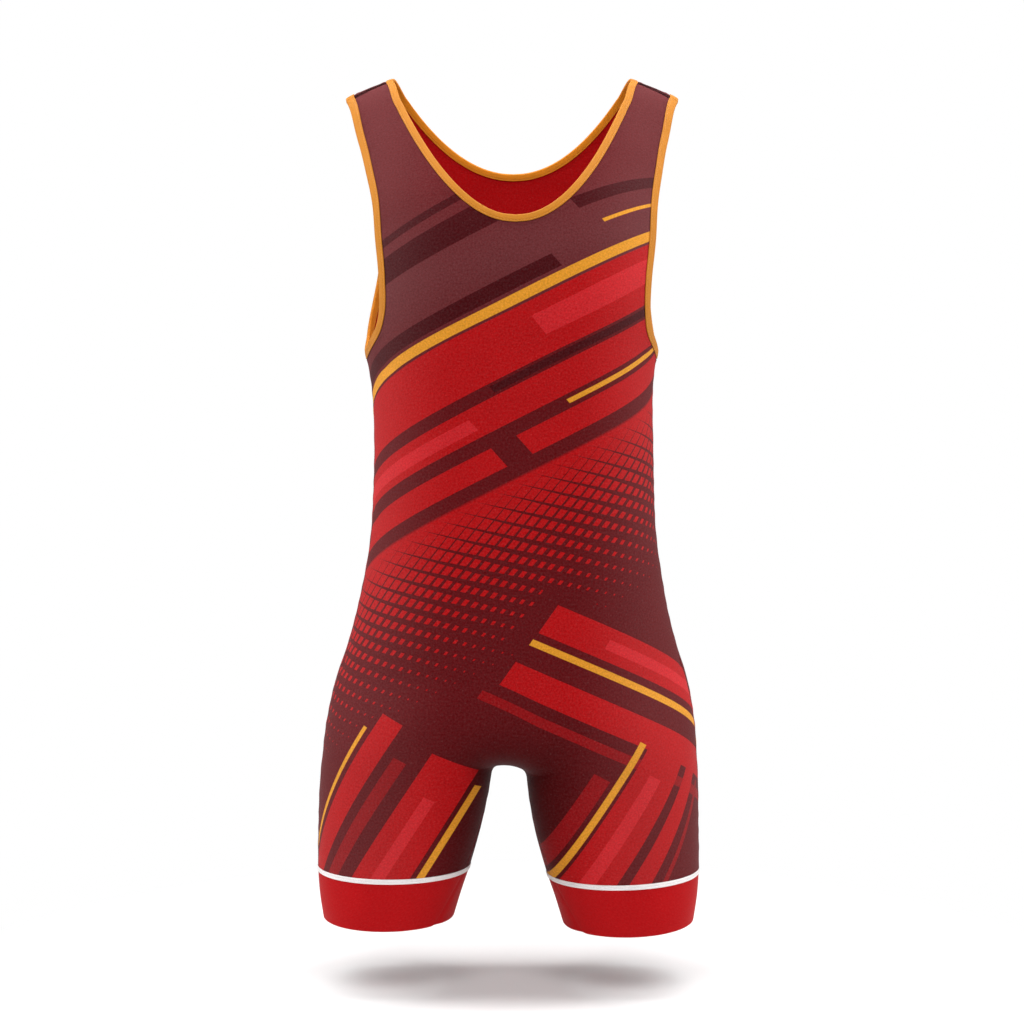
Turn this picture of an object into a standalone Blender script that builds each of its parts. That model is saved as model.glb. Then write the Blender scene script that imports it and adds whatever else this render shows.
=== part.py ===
"""A wrestling singlet, filled out as if worn, with no wearer in it.

The front faces -Y, +Z is up and +X is the wearer's left. The origin lies midway between the two
shoulder straps, at the height where the wearer's shoulders hold them up. Sizes are in metres.

The form is one surface, form(angle, run). "run" goes up the front, over the shoulder and down the
back: on the front it is the height z, and on the back it is BACK_RUN - z. "angle" goes round the
body in degrees, from 0 at the middle of the front or back to 90 at the widest point of the side.
Below the crotch the same angles go round each leg, with -90 at its inner side.
"""

import math

import bmesh
import bpy
from mathutils import Vector

# Cloth and sewing
WALL = 0.0012  # thickness of the knit
BAND_WALL = 0.0018  # leg bands are turned up, with an elastic inside
SEAM_GAP = 0.0003  # between two pieces that are sewn together
NECK_BINDING = 0.0074  # width of the elastic binding, as it shows on each side of the cloth
ARM_BINDING = 0.0094
BINDING_THICKNESS = 0.0007
BINDING_GAP = 0.00035  # between the binding and the cloth that it is folded over
CUT_INSET = 0.0018  # from the binding's fold back to the cut edge of the cloth
STRIPE_WIDTH = 0.0055  # white tape over the seam at the top of a leg band
STRIPE_THICKNESS = 0.0008

# Heights
HEM = -0.8265
LEG_SEAM = -0.7776  # where a leg band is sewn to the panels
CROTCH = -0.6745
HIP = -0.5780  # the two leg forms have merged into one body here
UNDERARM = -0.2630
SHOULDER_SEAM_AHEAD = 0.022  # the shoulder seam lies this far in front of the crest

# Angles of the seams
SIDE_SEAM = 80.0
NECK_AT_SHOULDER = 37.9
ARM_AT_SHOULDER = 59.2
INSEAM_AT_CROTCH = -90.0
INSEAM_AT_HEM = -62.0

# The cloth between the legs
ARCH_HEIGHT = 0.012
ARCH_POWER = 2.8
FRONT_MERGE = 1.8  # higher values fill the valley between the leg forms sooner above the crotch
BACK_MERGE = 2.8

# Rings of the body and legs. half_width is measured from the middle plane to the outside, and
# leg_gap from the middle plane to the inner side of a leg. front and back are depths from middle.
RING_COLUMNS = ("height", "half_width", "leg_gap", "middle", "front", "back", "square")
RINGS = (
    (-0.8265, 0.1848, 0.0545, 0.004, 0.0785, 0.0740, 0.000),
    (-0.8020, 0.1885, 0.0470, 0.004, 0.0812, 0.0785, 0.000),
    (-0.7720, 0.1903, 0.0370, 0.004, 0.0830, 0.0830, 0.000),
    (-0.7320, 0.1899, 0.0260, 0.004, 0.0885, 0.0890, 0.004),
    (-0.6920, 0.1889, 0.0185, 0.004, 0.0935, 0.0960, 0.010),
    (-0.6620, 0.1867, 0.0160, 0.004, 0.0965, 0.1030, 0.015),
    (-0.6320, 0.1839, 0.0160, 0.004, 0.0985, 0.1100, 0.020),
    (-0.5920, 0.1761, 0.0160, 0.003, 0.0995, 0.1160, 0.030),
    (-0.5520, 0.1632, 0.0160, 0.002, 0.0990, 0.1150, 0.040),
    (-0.5120, 0.1532, 0.0160, 0.001, 0.0970, 0.1050, 0.050),
    (-0.4520, 0.1430, 0.0160, 0.000, 0.0960, 0.0890, 0.060),
    (-0.4020, 0.1400, 0.0160, 0.000, 0.0965, 0.0820, 0.065),
    (-0.3420, 0.1390, 0.0160, 0.000, 0.1000, 0.0860, 0.070),
    (-0.3020, 0.1400, 0.0160, 0.000, 0.1050, 0.0930, 0.070),
    (-0.2720, 0.1440, 0.0160, 0.001, 0.1090, 0.0990, 0.070),
    (-0.2350, 0.1505, 0.0160, 0.002, 0.1130, 0.1040, 0.070),
    (-0.2000, 0.1552, 0.0160, 0.003, 0.1150, 0.1080, 0.065),
)

# Sections that lean over the shoulder, from the chest to the shoulder blades. (y, z) is where the
# section crosses the middle plane, lean is 0 for a level section on the front, 90 on the crest and
# 180 for a level one on the back, and drop is how deep the section's curve is.
SHOULDER_COLUMNS = ("y", "z", "lean", "half_width", "drop", "square")
SHOULDERS = (
    (-0.1090, -0.1600, 6.0, 0.1612, 0.1160, 0.055),
    (-0.1000, -0.1200, 14.0, 0.1660, 0.1140, 0.045),
    (-0.0830, -0.0800, 26.0, 0.1730, 0.1080, 0.030),
    (-0.0560, -0.0300, 42.0, 0.1810, 0.1000, 0.015),
    (-0.0220, 0.0140, 62.0, 0.1900, 0.0880, 0.000),
    (0.0200, 0.0272, 90.0, 0.1965, 0.0715, 0.000),
    (0.0600, 0.0140, 120.0, 0.1920, 0.0870, 0.000),
    (0.0860, -0.0280, 142.0, 0.1830, 0.0970, 0.015),
    (0.1010, -0.0780, 158.0, 0.1740, 0.1020, 0.030),
    (0.1080, -0.1200, 170.0, 0.1660, 0.1060, 0.045),
    (0.1110, -0.1600, 177.0, 0.1612, 0.1080, 0.055),
)
CREST_ROW = 5

# Necklines seen from the front: height = bottom + (top - bottom) * (x / NECK_HALF_WIDTH) ** power
NECK_HALF_WIDTH = 0.1225
NECK_COLUMNS = ("bottom", "top", "power")
FRONT_NECK = (-0.1445, 0.0140, 2.04)
BACK_NECK = (-0.0672, 0.0215, 2.04)

# The fold of the armhole binding, from the underarm to the shoulder: where it goes round the body
ARMHOLE_COLUMNS = ("height", "front_angle", "back_angle")
ARMHOLE = (
    (-0.2520, 62.0, 79.8),
    (-0.2330, 54.8, 69.2),
    (-0.2000, 52.9, 61.2),
    (-0.1600, 52.8, 55.5),
    (-0.1200, 53.0, 52.4),
    (-0.0800, 55.0, 53.0),
    (-0.0450, 57.5, 55.3),
    (-0.0150, 59.0, 57.8),
)

# The wearer's stance: the left leg is a little lower, and both lean to the wearer's right.
LEG_SHIFT = -0.0035
LEFT_LEG_DROP = 0.0055
LEFT_LEG_ROLL = math.tan(math.radians(2.0))
STANCE_TOP, STANCE_BOTTOM = -0.55, -0.74
LEG_MIDDLE = 0.112
# How far the trunk is to the wearer's left of the hips, and how far it is turned to their left:
# a point at a depth y moves by shift - turn * y.
SWAY_COLUMNS = ("height", "shift", "turn")
SWAY = (
    (-0.560, 0.0000, 0.000),
    (-0.520, 0.0004, 0.000),
    (-0.480, 0.0012, 0.000),
    (-0.420, 0.0016, 0.000),
    (-0.360, 0.0018, 0.000),
    (-0.310, 0.0006, 0.005),
    (-0.270, -0.0006, 0.018),
    (-0.235, -0.0001, 0.038),
    (-0.205, 0.0011, 0.027),
    (-0.175, 0.0026, 0.012),
    (-0.130, 0.0031, 0.000),
    (-0.090, 0.0020, 0.000),
    (-0.050, 0.0008, 0.000),
    (0.000, 0.0000, 0.000),
    (0.040, 0.0000, 0.000),
)

# Mesh density. Rows start at these heights at the inseam and middle line, closer near the crotch,
# and are evenly spaced at the side seam.
COLUMNS = 12
LEG_ROWS = (-0.7776, -0.7610, -0.7430, -0.7245, -0.7060, -0.6920, -0.6830, -0.6780, -0.6758)
HIP_ROWS = (-0.6745, -0.6735, -0.6710, -0.6660, -0.6585, -0.6480, -0.6340, -0.6160, -0.5960)
BODY_ROWS = 8
WAIST_TO_CHEST = -0.3150  # where the row from the top of the side seam reaches the middle line
CHEST_ROWS = 5
STRAP_ROWS = 14
BAND_ROWS = 3

COLOURS = {
    "red": (0.46, 0.012, 0.016, 1.0),
    "maroon": (0.10, 0.012, 0.016, 1.0),
    "gold": (0.68, 0.28, 0.028, 1.0),
    "white": (0.85, 0.84, 0.82, 1.0),
}
ROUGHNESS = 0.6


def ease(t):
    """0 to 1 with a level start and end."""
    t = min(1.0, max(0.0, t))
    return t * t * (3 - 2 * t)


def curve_value(knots, values, at):
    """A smooth curve through (knot, value) pairs, read at one place."""
    last = len(knots) - 2
    i = next((k for k in range(last) if at < knots[k + 1]), last)

    def slope(k):
        low, high = max(0, k - 1), min(len(knots) - 1, k + 1)
        return (values[high] - values[low]) / (knots[high] - knots[low])

    step, rise = knots[i + 1] - knots[i], values[i + 1] - values[i]
    t = (at - knots[i]) / step
    first, second = slope(i) * step, slope(i + 1) * step
    bend = 3 * rise - 2 * first - second
    return values[i] + t * (first + t * (bend + t * (first + second - 2 * rise)))


def body_line():
    """The rings and shoulder sections as one line of knots, from front hem to back hem."""
    rings = [dict(zip(RING_COLUMNS, row)) for row in RINGS]
    shoulders = [dict(zip(SHOULDER_COLUMNS, row)) for row in SHOULDERS]
    knots = []
    for ring in rings:
        knots.append((ring["middle"] - ring["front"], ring["height"], 0.0, ring["half_width"],
                      ring["front"], ring["back"], ring["square"], ring["leg_gap"]))
    for part in shoulders:
        knots.append((part["y"], part["z"], part["lean"], part["half_width"],
                      part["drop"], part["drop"], part["square"], rings[-1]["leg_gap"]))
    for ring in reversed(rings):
        knots.append((ring["middle"] + ring["back"], ring["height"], 180.0, ring["half_width"],
                      ring["back"], ring["front"], ring["square"], ring["leg_gap"]))
    runs = [ring["height"] for ring in rings]
    for i in range(len(rings), len(knots)):
        on_rings = i > len(rings) + len(shoulders)
        step = knots[i - 1][1] - knots[i][1] if on_rings else math.dist(knots[i - 1][:2], knots[i][:2])
        runs.append(runs[-1] + step)
    return runs, list(zip(*knots))


RUNS, KNOTS = body_line()
BACK_RUN = RUNS[-1] + HEM
SHOULDER_SEAM = RUNS[len(RINGS) + CREST_ROW] - SHOULDER_SEAM_AHEAD


def station(run):
    """The section at a run: y, z, lean, half width, depth, the other side's depth, squareness, leg gap."""
    return [curve_value(RUNS, column, run) for column in KNOTS]


def legs(z, half_width, gap, back):
    """How the section is made of two leg forms.

    Gives share, the distance of their centres from the middle plane over their radius; reach, the
    distance from the middle plane up to which cloth bridges them; and the sine of the angle at
    which the bridge meets the middle plane."""
    split = (half_width + gap) / (half_width - gap)
    if z < CROTCH:
        below = min(1.0, (CROTCH - z) / ARCH_HEIGHT)
        across = (1 - (1 - below) ** ARCH_POWER) ** (1 / ARCH_POWER)
        return split, gap * (1 + math.sqrt(max(0.0, 1 - across * across))), -1.0
    t = min(1.0, (z - CROTCH) / (HIP - CROTCH))
    share = split * (1 - ease(t))
    middle = -((1 - t) ** (BACK_MERGE if back else FRONT_MERGE))
    return share, 2 * half_width / (1 + share) * (share + middle), middle


def middle_angle(run):
    """The angle at which a section above the crotch meets the middle plane."""
    _, z, lean, half_width, _, _, _, gap = station(run)
    return math.degrees(math.asin(legs(z, half_width, gap, lean > 90)[2]))


def form(angle, run):
    """A point of the cloth's outer surface on the wearer's left, with even legs."""
    y, z, lean, half_width, depth, other, square, gap = station(run)
    share, reach, _ = legs(z, half_width, gap, lean > 90)
    turn, lean = math.radians(angle), math.radians(lean)
    swell = 1 + square * math.sin(2 * turn) ** 2 if angle > 0 else 1.0
    x = half_width / (1 + share) * (share + math.sin(turn) * swell)
    if x < reach:
        x = math.sqrt(max(0.0, 2 * reach * x - reach * reach))
    forward = math.cos(turn) * swell
    inward = depth - (depth if forward > 0 else other) * forward
    return Vector((x, y + inward * math.cos(lean), z - inward * math.sin(lean)))


def gradients(angle, run):
    """How the surface moves per degree and per metre of run."""
    across = form(angle + 0.5, run) - form(angle - 0.5, run)
    along = (form(angle, run + 0.0005) - form(angle, run - 0.0005)) / 0.001
    return across, along


def normal(angle, run):
    """The outward direction on the wearer's left."""
    across, along = gradients(angle, run)
    out = across.cross(along)
    if form(angle, run).x < 1e-5:
        out.x = 0.0
    return out.normalized()


def stance(point):
    """The point as the wearer's slightly uneven stance carries it."""
    share = ease((STANCE_TOP - point.z) / (STANCE_TOP - STANCE_BOTTOM))
    drop = ease((point.x + 0.03) / 0.06) * LEFT_LEG_DROP
    drop += ease(point.x / 0.03) * LEFT_LEG_ROLL * (LEG_MIDDLE - point.x)
    heights, shifts, turns = zip(*SWAY)
    level = min(heights[-1], max(heights[0], point.z))
    sway = curve_value(heights, shifts, level) - curve_value(heights, turns, level) * point.y
    return Vector((point.x + LEG_SHIFT * share + sway, point.y, point.z - drop * share))


def place(angle, run, out=0.0, side=1):
    """The point at a distance out from the surface, on the wearer's left (1) or right (-1)."""
    point = form(angle, run) + out * normal(angle, run)
    return stance(Vector((side * point.x, point.y, point.z)))


def shifted(angle, run, distance):
    """The angle moved round by a distance."""
    return angle + distance / gradients(angle, run)[0].length


def found(x, height, angle, run):
    """(angle, run) where the surface has this x and height, from a near guess."""
    for _ in range(25):
        here = form(angle, run)
        across, along = gradients(angle, run)
        miss_x, miss_z = x - here.x, height - here.z
        scale = across.x * along.z - across.z * along.x
        angle += max(-3.0, min(3.0, (miss_x * along.z - miss_z * along.x) / scale))
        run += max(-0.01, min(0.01, (miss_z * across.x - miss_x * across.z) / scale))
    return angle, run


def run_at(angle, height, back):
    """The run at which the surface has this height, at an angle on the front or the back."""
    run = BACK_RUN - height if back else height
    for _ in range(25):
        slope = (form(angle, run + 0.0005).z - form(angle, run - 0.0005).z) / 0.001
        run += max(-0.02, min(0.02, (height - form(angle, run).z) / slope))
    return run


def inward_line(points, distance, turn):
    """A line of (angle, run) moved a distance into the cloth, to the side that turn (1 or -1) gives.

    The first point stays on its seam or on the middle line, and the last on the shoulder seam."""
    moved = []
    for k, (angle, run) in enumerate(points):
        before, after = points[max(0, k - 1)], points[min(len(points) - 1, k + 1)]
        across, along = gradients(angle, run)
        tangent = across * (after[0] - before[0]) + along * (after[1] - before[1])
        way = normal(angle, run).cross(tangent).normalized() * distance * turn
        aa, ab, bb = across.dot(across), across.dot(along), along.dot(along)
        ca, cb = across.dot(way), along.dot(way)
        scale = aa * bb - ab * ab
        moved.append((angle + (ca * bb - cb * ab) / scale, run + (cb * aa - ca * ab) / scale))
    moved[0] = (points[0][0], moved[0][1])
    moved[-1] = (moved[-1][0], points[-1][1])
    return moved


def resampled(points, count):
    """count + 1 (angle, run) pairs at even distances along a line of them."""
    spots = [form(*p) for p in points]
    lengths = [0.0]
    for a, b in zip(spots, spots[1:]):
        lengths.append(lengths[-1] + (b - a).length)
    out = []
    for k in range(count + 1):
        at = lengths[-1] * k / count
        i = next((j for j in range(len(spots) - 2) if at < lengths[j + 1]), len(spots) - 2)
        t = (at - lengths[i]) / (lengths[i + 1] - lengths[i])
        out.append(tuple(a + t * (b - a) for a, b in zip(points[i], points[i + 1])))
    return out


def to_shoulder(knots, angle):
    """A smooth line of (angle, run) pairs through knots, and on to an angle at the shoulder seam."""
    angles, runs = zip(*knots, (angle, SHOULDER_SEAM))
    ticks = list(range(len(runs)))
    return [(curve_value(ticks, angles, k / 8), curve_value(ticks, runs, k / 8)) for k in range(8 * len(knots) + 1)]


def neckline(back):
    """(angle, run) pairs along the fold of the neck binding, from the middle to the shoulder seam."""
    bottom, top, power = BACK_NECK if back else FRONT_NECK
    guess = (2.0, BACK_RUN - bottom if back else bottom)
    knots = []
    for k in range(12):
        x = max(0.0005, NECK_HALF_WIDTH * math.sin(math.radians(6 * k)))
        guess = found(x, bottom + (top - bottom) * (x / NECK_HALF_WIDTH) ** power, *guess)
        knots.append(guess)
    knots[0] = (0.0, knots[0][1])
    return to_shoulder(knots, NECK_AT_SHOULDER)


def armhole(back):
    """(angle, run) pairs along the fold of the armhole binding, from side seam to shoulder seam."""
    knots = {}
    for side in (False, True):
        knots[side] = []
        for row in ARMHOLE:
            at = dict(zip(ARMHOLE_COLUMNS, row))
            angle = at["back_angle" if side else "front_angle"]
            knots[side].append((angle, run_at(angle, at["height"], side)))
    start = (180 - SIDE_SEAM, BACK_RUN - UNDERARM) if back else (SIDE_SEAM, UNDERARM)
    beyond = knots[not back][0]
    line = [(180 - beyond[0], BACK_RUN - beyond[1]), start] + knots[back]
    return to_shoulder(line, ARM_AT_SHOULDER)[8:]


def inseam_angle(z, back):
    """Where the inseam goes round a leg, a little further forward towards the hem."""
    angle = INSEAM_AT_CROTCH + (INSEAM_AT_HEM - INSEAM_AT_CROTCH) * (CROTCH - z) / (CROTCH - HEM)
    return -180 - angle if back else angle


def side_angle(back):
    return 180 - SIDE_SEAM if back else SIDE_SEAM


def even(first, last, count):
    """count values evenly from first to last, without last."""
    return [first + (last - first) * k / count for k in range(count)]


class Half:
    """The lines that shape half of the front or back panel, as (angle, run) pairs.

    neck and arm are the folds of the bindings, their _cut lines are the cloth's edges, and their _in
    lines are where the bindings end. inner and outer are the ends of the panel's rows."""

    def __init__(self, back):
        self.back = back
        turn = -1 if back else 1
        self.neck = resampled(neckline(back), STRAP_ROWS)
        self.neck_cut = inward_line(self.neck, CUT_INSET, -turn)
        self.neck_in = inward_line(self.neck, NECK_BINDING, -turn)
        self.arm = resampled(armhole(back), CHEST_ROWS + STRAP_ROWS)
        self.arm_cut = inward_line(self.arm, CUT_INSET, turn)
        self.arm_in = inward_line(self.arm, ARM_BINDING, turn)

        def run(z):
            return BACK_RUN - z if back else z

        body = list(HIP_ROWS) + even(HIP, WAIST_TO_CHEST, BODY_ROWS)
        middle = [run(z) for z in body] + even(run(WAIST_TO_CHEST), self.neck_in[0][1], CHEST_ROWS)
        self.inner = [(inseam_angle(z, back), run(z)) for z in LEG_ROWS]
        self.inner += [(middle_angle(at), at) for at in middle] + self.neck_in
        side = even(LEG_SEAM, HIP, len(LEG_ROWS) + len(HIP_ROWS))
        side += even(HIP, form(*self.arm_in[0]).z, BODY_ROWS)
        self.outer = [(side_angle(back), run(z)) for z in side] + self.arm_in
        self.crotch_row = len(LEG_ROWS)
        self.arm_start = len(side)
        self.neck_start = len(self.inner) - len(self.neck_in)


class Mesh:
    """Points by name, and faces between them."""

    def __init__(self):
        self.points, self.index, self.faces = [], {}, []

    def at(self, key, point):
        if key not in self.index:
            self.index[key] = len(self.points)
            self.points.append(point)
        return self.index[key]

    def build(self, name, colour, collection):
        mesh = bpy.data.meshes.new(name)
        mesh.from_pydata([tuple(p) for p in self.points], [], self.faces)
        shape = bmesh.new()
        shape.from_mesh(mesh)
        bmesh.ops.recalc_face_normals(shape, faces=shape.faces)
        shape.to_mesh(mesh)
        shape.free()
        thing = bpy.data.objects.new(name, mesh)
        collection.objects.link(thing)
        material = bpy.data.materials.new(f"{name}_{colour}")
        material.use_nodes = True
        surface = material.node_tree.nodes["Principled BSDF"]
        surface.inputs["Base Color"].default_value = COLOURS[colour]
        surface.inputs["Roughness"].default_value = ROUGHNESS
        material.diffuse_color = COLOURS[colour]
        mesh.materials.append(material)
        return thing


def shell(quads, spot, outer, inner):
    """A closed wall: quads of keys, with spot(key, out) giving the point at a distance out."""
    mesh = Mesh()
    edges = {}
    for quad in quads:
        mesh.faces.append([mesh.at((key, 0), spot(key, outer)) for key in quad])
        mesh.faces.append([mesh.at((key, 1), spot(key, inner)) for key in reversed(quad)])
        for a, b in zip(quad, quad[1:] + quad[:1]):
            edges[(a, b)] = edges.get((a, b), 0) + 1
    for a, b in edges:
        if (b, a) not in edges:
            mesh.faces.append([mesh.index[k] for k in ((b, 0), (a, 0), (a, 1), (b, 1))])
    return mesh


def panel(half):
    """The front or back panel: two mirrored halves, joined at the middle line."""
    rows = len(half.inner)
    gap_turn = SEAM_GAP / 2
    spots = {}
    for i in range(rows):
        a, b = half.inner[i], half.outer[i]
        for j in range(COLUMNS + 1):
            t = j / COLUMNS
            angle, run = a[0] + t * (b[0] - a[0]), a[1] + t * (b[1] - a[1])
            if j == 0 and i < half.crotch_row:
                angle = shifted(angle, run, gap_turn)
            if j == COLUMNS and i <= half.arm_start:
                angle = shifted(angle, run, -gap_turn)
            spots[(i, j)] = (angle, run)
    for k, spot in enumerate(half.neck_cut):
        spots[("neck", k)] = spot
    for k, spot in enumerate(half.arm_cut):
        spots[("arm", k)] = spot
    angle, run = spots[("arm", 0)]
    spots[("arm", 0)] = (shifted(angle, run, -gap_turn), run)
    towards_front = gap_turn if half.back else -gap_turn
    for key, (angle, run) in spots.items():
        if abs(run - SHOULDER_SEAM) < 1e-9:
            spots[key] = (angle, run + towards_front)

    quads = []
    for i in range(rows - 1):
        for j in range(COLUMNS):
            quads.append([(i, j), (i, j + 1), (i + 1, j + 1), (i + 1, j)])
    for k in range(STRAP_ROWS):
        i = half.neck_start + k
        quads.append([("neck", k), (i, 0), ("neck", k + 1)])
        quads.append([(i, 0), (i + 1, 0), ("neck", k + 1)])
    for k in range(CHEST_ROWS + STRAP_ROWS):
        i = half.arm_start + k
        quads.append([(i, COLUMNS), ("arm", k), ("arm", k + 1)])
        quads.append([(i, COLUMNS), ("arm", k + 1), (i + 1, COLUMNS)])

    def in_middle(key):
        return key == ("neck", 0) or (key[1] == 0 and key[0] in range(half.crotch_row, half.neck_start + 1))

    def spot(key, out):
        side, name = key
        point = place(*spots[name], out, side or 1)
        if name == (half.crotch_row, 0):
            point.y += 2 * towards_front
        return point

    both = []
    for side in (1, -1):
        for quad in quads:
            keys = [(0 if in_middle(name) else side, name) for name in quad]
            both.append(keys if side == 1 else keys[::-1])
    return shell(both, spot, 0.0, -WALL)


def ring_angles(z, columns):
    """(angle, run) pairs once round a leg, from the inseam over the front to the side and back."""
    ring = []
    for back in (False, True):
        first, last = inseam_angle(z, back), side_angle(back)
        run = BACK_RUN - z if back else z
        part = [(first + (last - first) * j / columns, run) for j in range(columns + 1)]
        ring += part[::-1][1:-1] if back else part
    return ring


def leg_ring(heights, side, outer, inner):
    """A closed band round a leg."""
    count = 2 * COLUMNS
    rings = [ring_angles(z, COLUMNS) for z in heights]
    quads = []
    for i in range(len(rings) - 1):
        for j in range(count):
            quads.append([(i, j), (i, (j + 1) % count), (i + 1, (j + 1) % count), (i + 1, j)])
    return shell(quads, lambda key, out: place(*rings[key[0]][key[1]], out, side), outer, inner)


def section_points(edge, cut, covered):
    """The folded binding's section at one station, as (line point, distance out) pairs."""
    half = WALL / 2 + BINDING_GAP
    full = half + BINDING_THICKNESS
    middle = -WALL / 2

    def between(t):
        return tuple(e + t * (c - e) for e, c in zip(edge, cut))

    outside = [(covered, full), (cut, full), (between(0.3), 0.8 * full), (edge, 0.0)]
    outside += [(spot, -out) for spot, out in reversed(outside[:-1])]
    inside = [(covered, half), (between(0.75), half)]
    inside = [(spot, -out) for spot, out in inside] + inside[::-1]
    return [(spot, middle + out) for spot, out in outside + inside]


# The binding's section is a folded strip: these pairs of its points face each other across it, and
# the depths say how far into the cloth each point lies.
CAP = ((0, 10), (1, 9), (2, 9), (3, 9), (3, 8), (4, 8), (5, 8), (6, 7))
SECTION_DEPTHS = (3, 2, 1, 0, 1, 2, 3, 3, 2, 2, 3)


def binding(stations):
    """A strip folded over an edge. stations are (edge, cut, covered, order, side) rows.

    Its faces are split the same way as those of the cloth under them."""
    mesh = Mesh()
    rings = []
    for k, (edge, cut, covered, _, side) in enumerate(stations):
        ring = []
        for j, (spot, out) in enumerate(section_points(edge, cut, covered)):
            ring.append(mesh.at((k, j), place(*spot, out, side)))
        rings.append(ring)
    size = len(SECTION_DEPTHS)
    for k in range(len(rings) - 1):
        low, high = rings[k], rings[k + 1]
        if stations[k][3] > stations[k + 1][3]:
            low, high = high, low
        for j in range(size):
            i = (j + 1) % size
            if SECTION_DEPTHS[j] < SECTION_DEPTHS[i]:
                i, j = j, i
            mesh.faces.append([low[j], low[i], high[i]])
            mesh.faces.append([low[j], high[i], high[j]])
    for ring in (rings[0], rings[-1]):
        for a, b in zip(CAP, CAP[1:]):
            mesh.faces.append([ring[k] for k in dict.fromkeys((a[0], b[0], b[1], a[1]))])
    return mesh


def neck_stations(half):
    rows = list(zip(half.neck, half.neck_cut, half.neck_in, range(STRAP_ROWS + 1)))
    return [(*row, -1) for row in rows[:0:-1]] + [(*row, 1) for row in rows]


def arm_stations(front, back, side):
    orders = range(CHEST_ROWS + STRAP_ROWS + 1)
    ahead = [(*row, side) for row in zip(front.arm, front.arm_cut, front.arm_in, orders)]
    behind = [(*row, side) for row in zip(back.arm, back.arm_cut, back.arm_in, orders)]
    return ahead[:0:-1] + behind


def clear_of_seam(stations):
    """The strip, with its ends half a gap away from the shoulder seam."""
    cleared = list(stations)
    for end in (0, -1):
        *line, order, side = stations[end]
        back = stations[end - 1 if end else 1][0][1] > SHOULDER_SEAM
        gap = SEAM_GAP / 2 if back else -SEAM_GAP / 2
        cleared[end] = (*[(angle, run + gap) for angle, run in line], order, side)
    return cleared


def main():
    for thing in list(bpy.data.objects):
        bpy.data.objects.remove(thing, do_unlink=True)
    collection = bpy.data.collections.new("wrestling_singlet")
    bpy.context.scene.collection.children.link(collection)
    front, back = Half(False), Half(True)
    panel(front).build("front_panel", "maroon", collection)
    panel(back).build("back_panel", "red", collection)
    binding(clear_of_seam(neck_stations(front))).build("neck_binding_front", "gold", collection)
    binding(clear_of_seam(neck_stations(back))).build("neck_binding_back", "gold", collection)
    band = [HEM + (LEG_SEAM - SEAM_GAP - HEM) * k / BAND_ROWS for k in range(BAND_ROWS + 1)]
    stripe = (LEG_SEAM - STRIPE_WIDTH / 2, LEG_SEAM + STRIPE_WIDTH / 2)
    for side, name in ((1, "left"), (-1, "right")):
        strip = clear_of_seam(arm_stations(front, back, side))
        binding(strip).build(f"armhole_binding_{name}", "gold", collection)
        leg_ring(band, side, 0.0, -BAND_WALL).build(f"leg_band_{name}", "red", collection)
        outer = SEAM_GAP + STRIPE_THICKNESS
        leg_ring(stripe, side, outer, SEAM_GAP).build(f"leg_stripe_{name}", "white", collection)


main()
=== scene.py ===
"""The looks of a wrestling singlet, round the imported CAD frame.

Each cloth piece is a closed thin shell on the form that its solid has. That form is one surface,
form(angle, run): "run" is the height up the front, then goes over the shoulder and down the back,
and "angle" goes round the body or a leg in degrees. Sizes are in metres unless a comment says mm.
"""

import math

import bpy
import numpy as np
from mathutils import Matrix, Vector


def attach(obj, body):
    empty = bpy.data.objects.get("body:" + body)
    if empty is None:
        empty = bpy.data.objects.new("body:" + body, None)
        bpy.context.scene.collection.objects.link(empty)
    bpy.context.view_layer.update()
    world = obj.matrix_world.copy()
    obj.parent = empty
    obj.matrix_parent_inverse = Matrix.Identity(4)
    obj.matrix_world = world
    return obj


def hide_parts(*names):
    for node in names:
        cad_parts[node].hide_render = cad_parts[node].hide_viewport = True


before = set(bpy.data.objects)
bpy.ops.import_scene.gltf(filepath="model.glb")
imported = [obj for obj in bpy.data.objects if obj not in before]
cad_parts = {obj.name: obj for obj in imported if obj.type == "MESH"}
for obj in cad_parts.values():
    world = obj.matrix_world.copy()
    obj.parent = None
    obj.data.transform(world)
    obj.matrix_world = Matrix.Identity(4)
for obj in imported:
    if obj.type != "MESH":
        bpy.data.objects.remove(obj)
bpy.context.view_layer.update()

MM = 0.001

# ---------------- the form, as in the solids
WALL = 0.0012
SEAM_GAP = 0.0003
CLOTH_GAP = 0.00002  # between sewn panels, too narrow for light to show through a seam
NECK_BINDING, ARM_BINDING = 0.0074, 0.0094
CUT_INSET = 0.0018  # from a binding's fold to the cloth's own edge inside it
HEM, LEG_SEAM, CROTCH, HIP, UNDERARM = -0.8265, -0.7776, -0.6745, -0.5780, -0.2630
SHOULDER_SEAM_AHEAD = 0.022
SIDES = ((1, "left"), (-1, "right"))
SIDE_SEAM = 80.0
NECK_AT_SHOULDER, ARM_AT_SHOULDER = 37.9, 59.2
INSEAM_AT_CROTCH, INSEAM_AT_HEM = -90.0, -62.0
ARCH_HEIGHT, ARCH_POWER = 0.012, 2.8
FRONT_MERGE, BACK_MERGE = 1.8, 2.8

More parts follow.
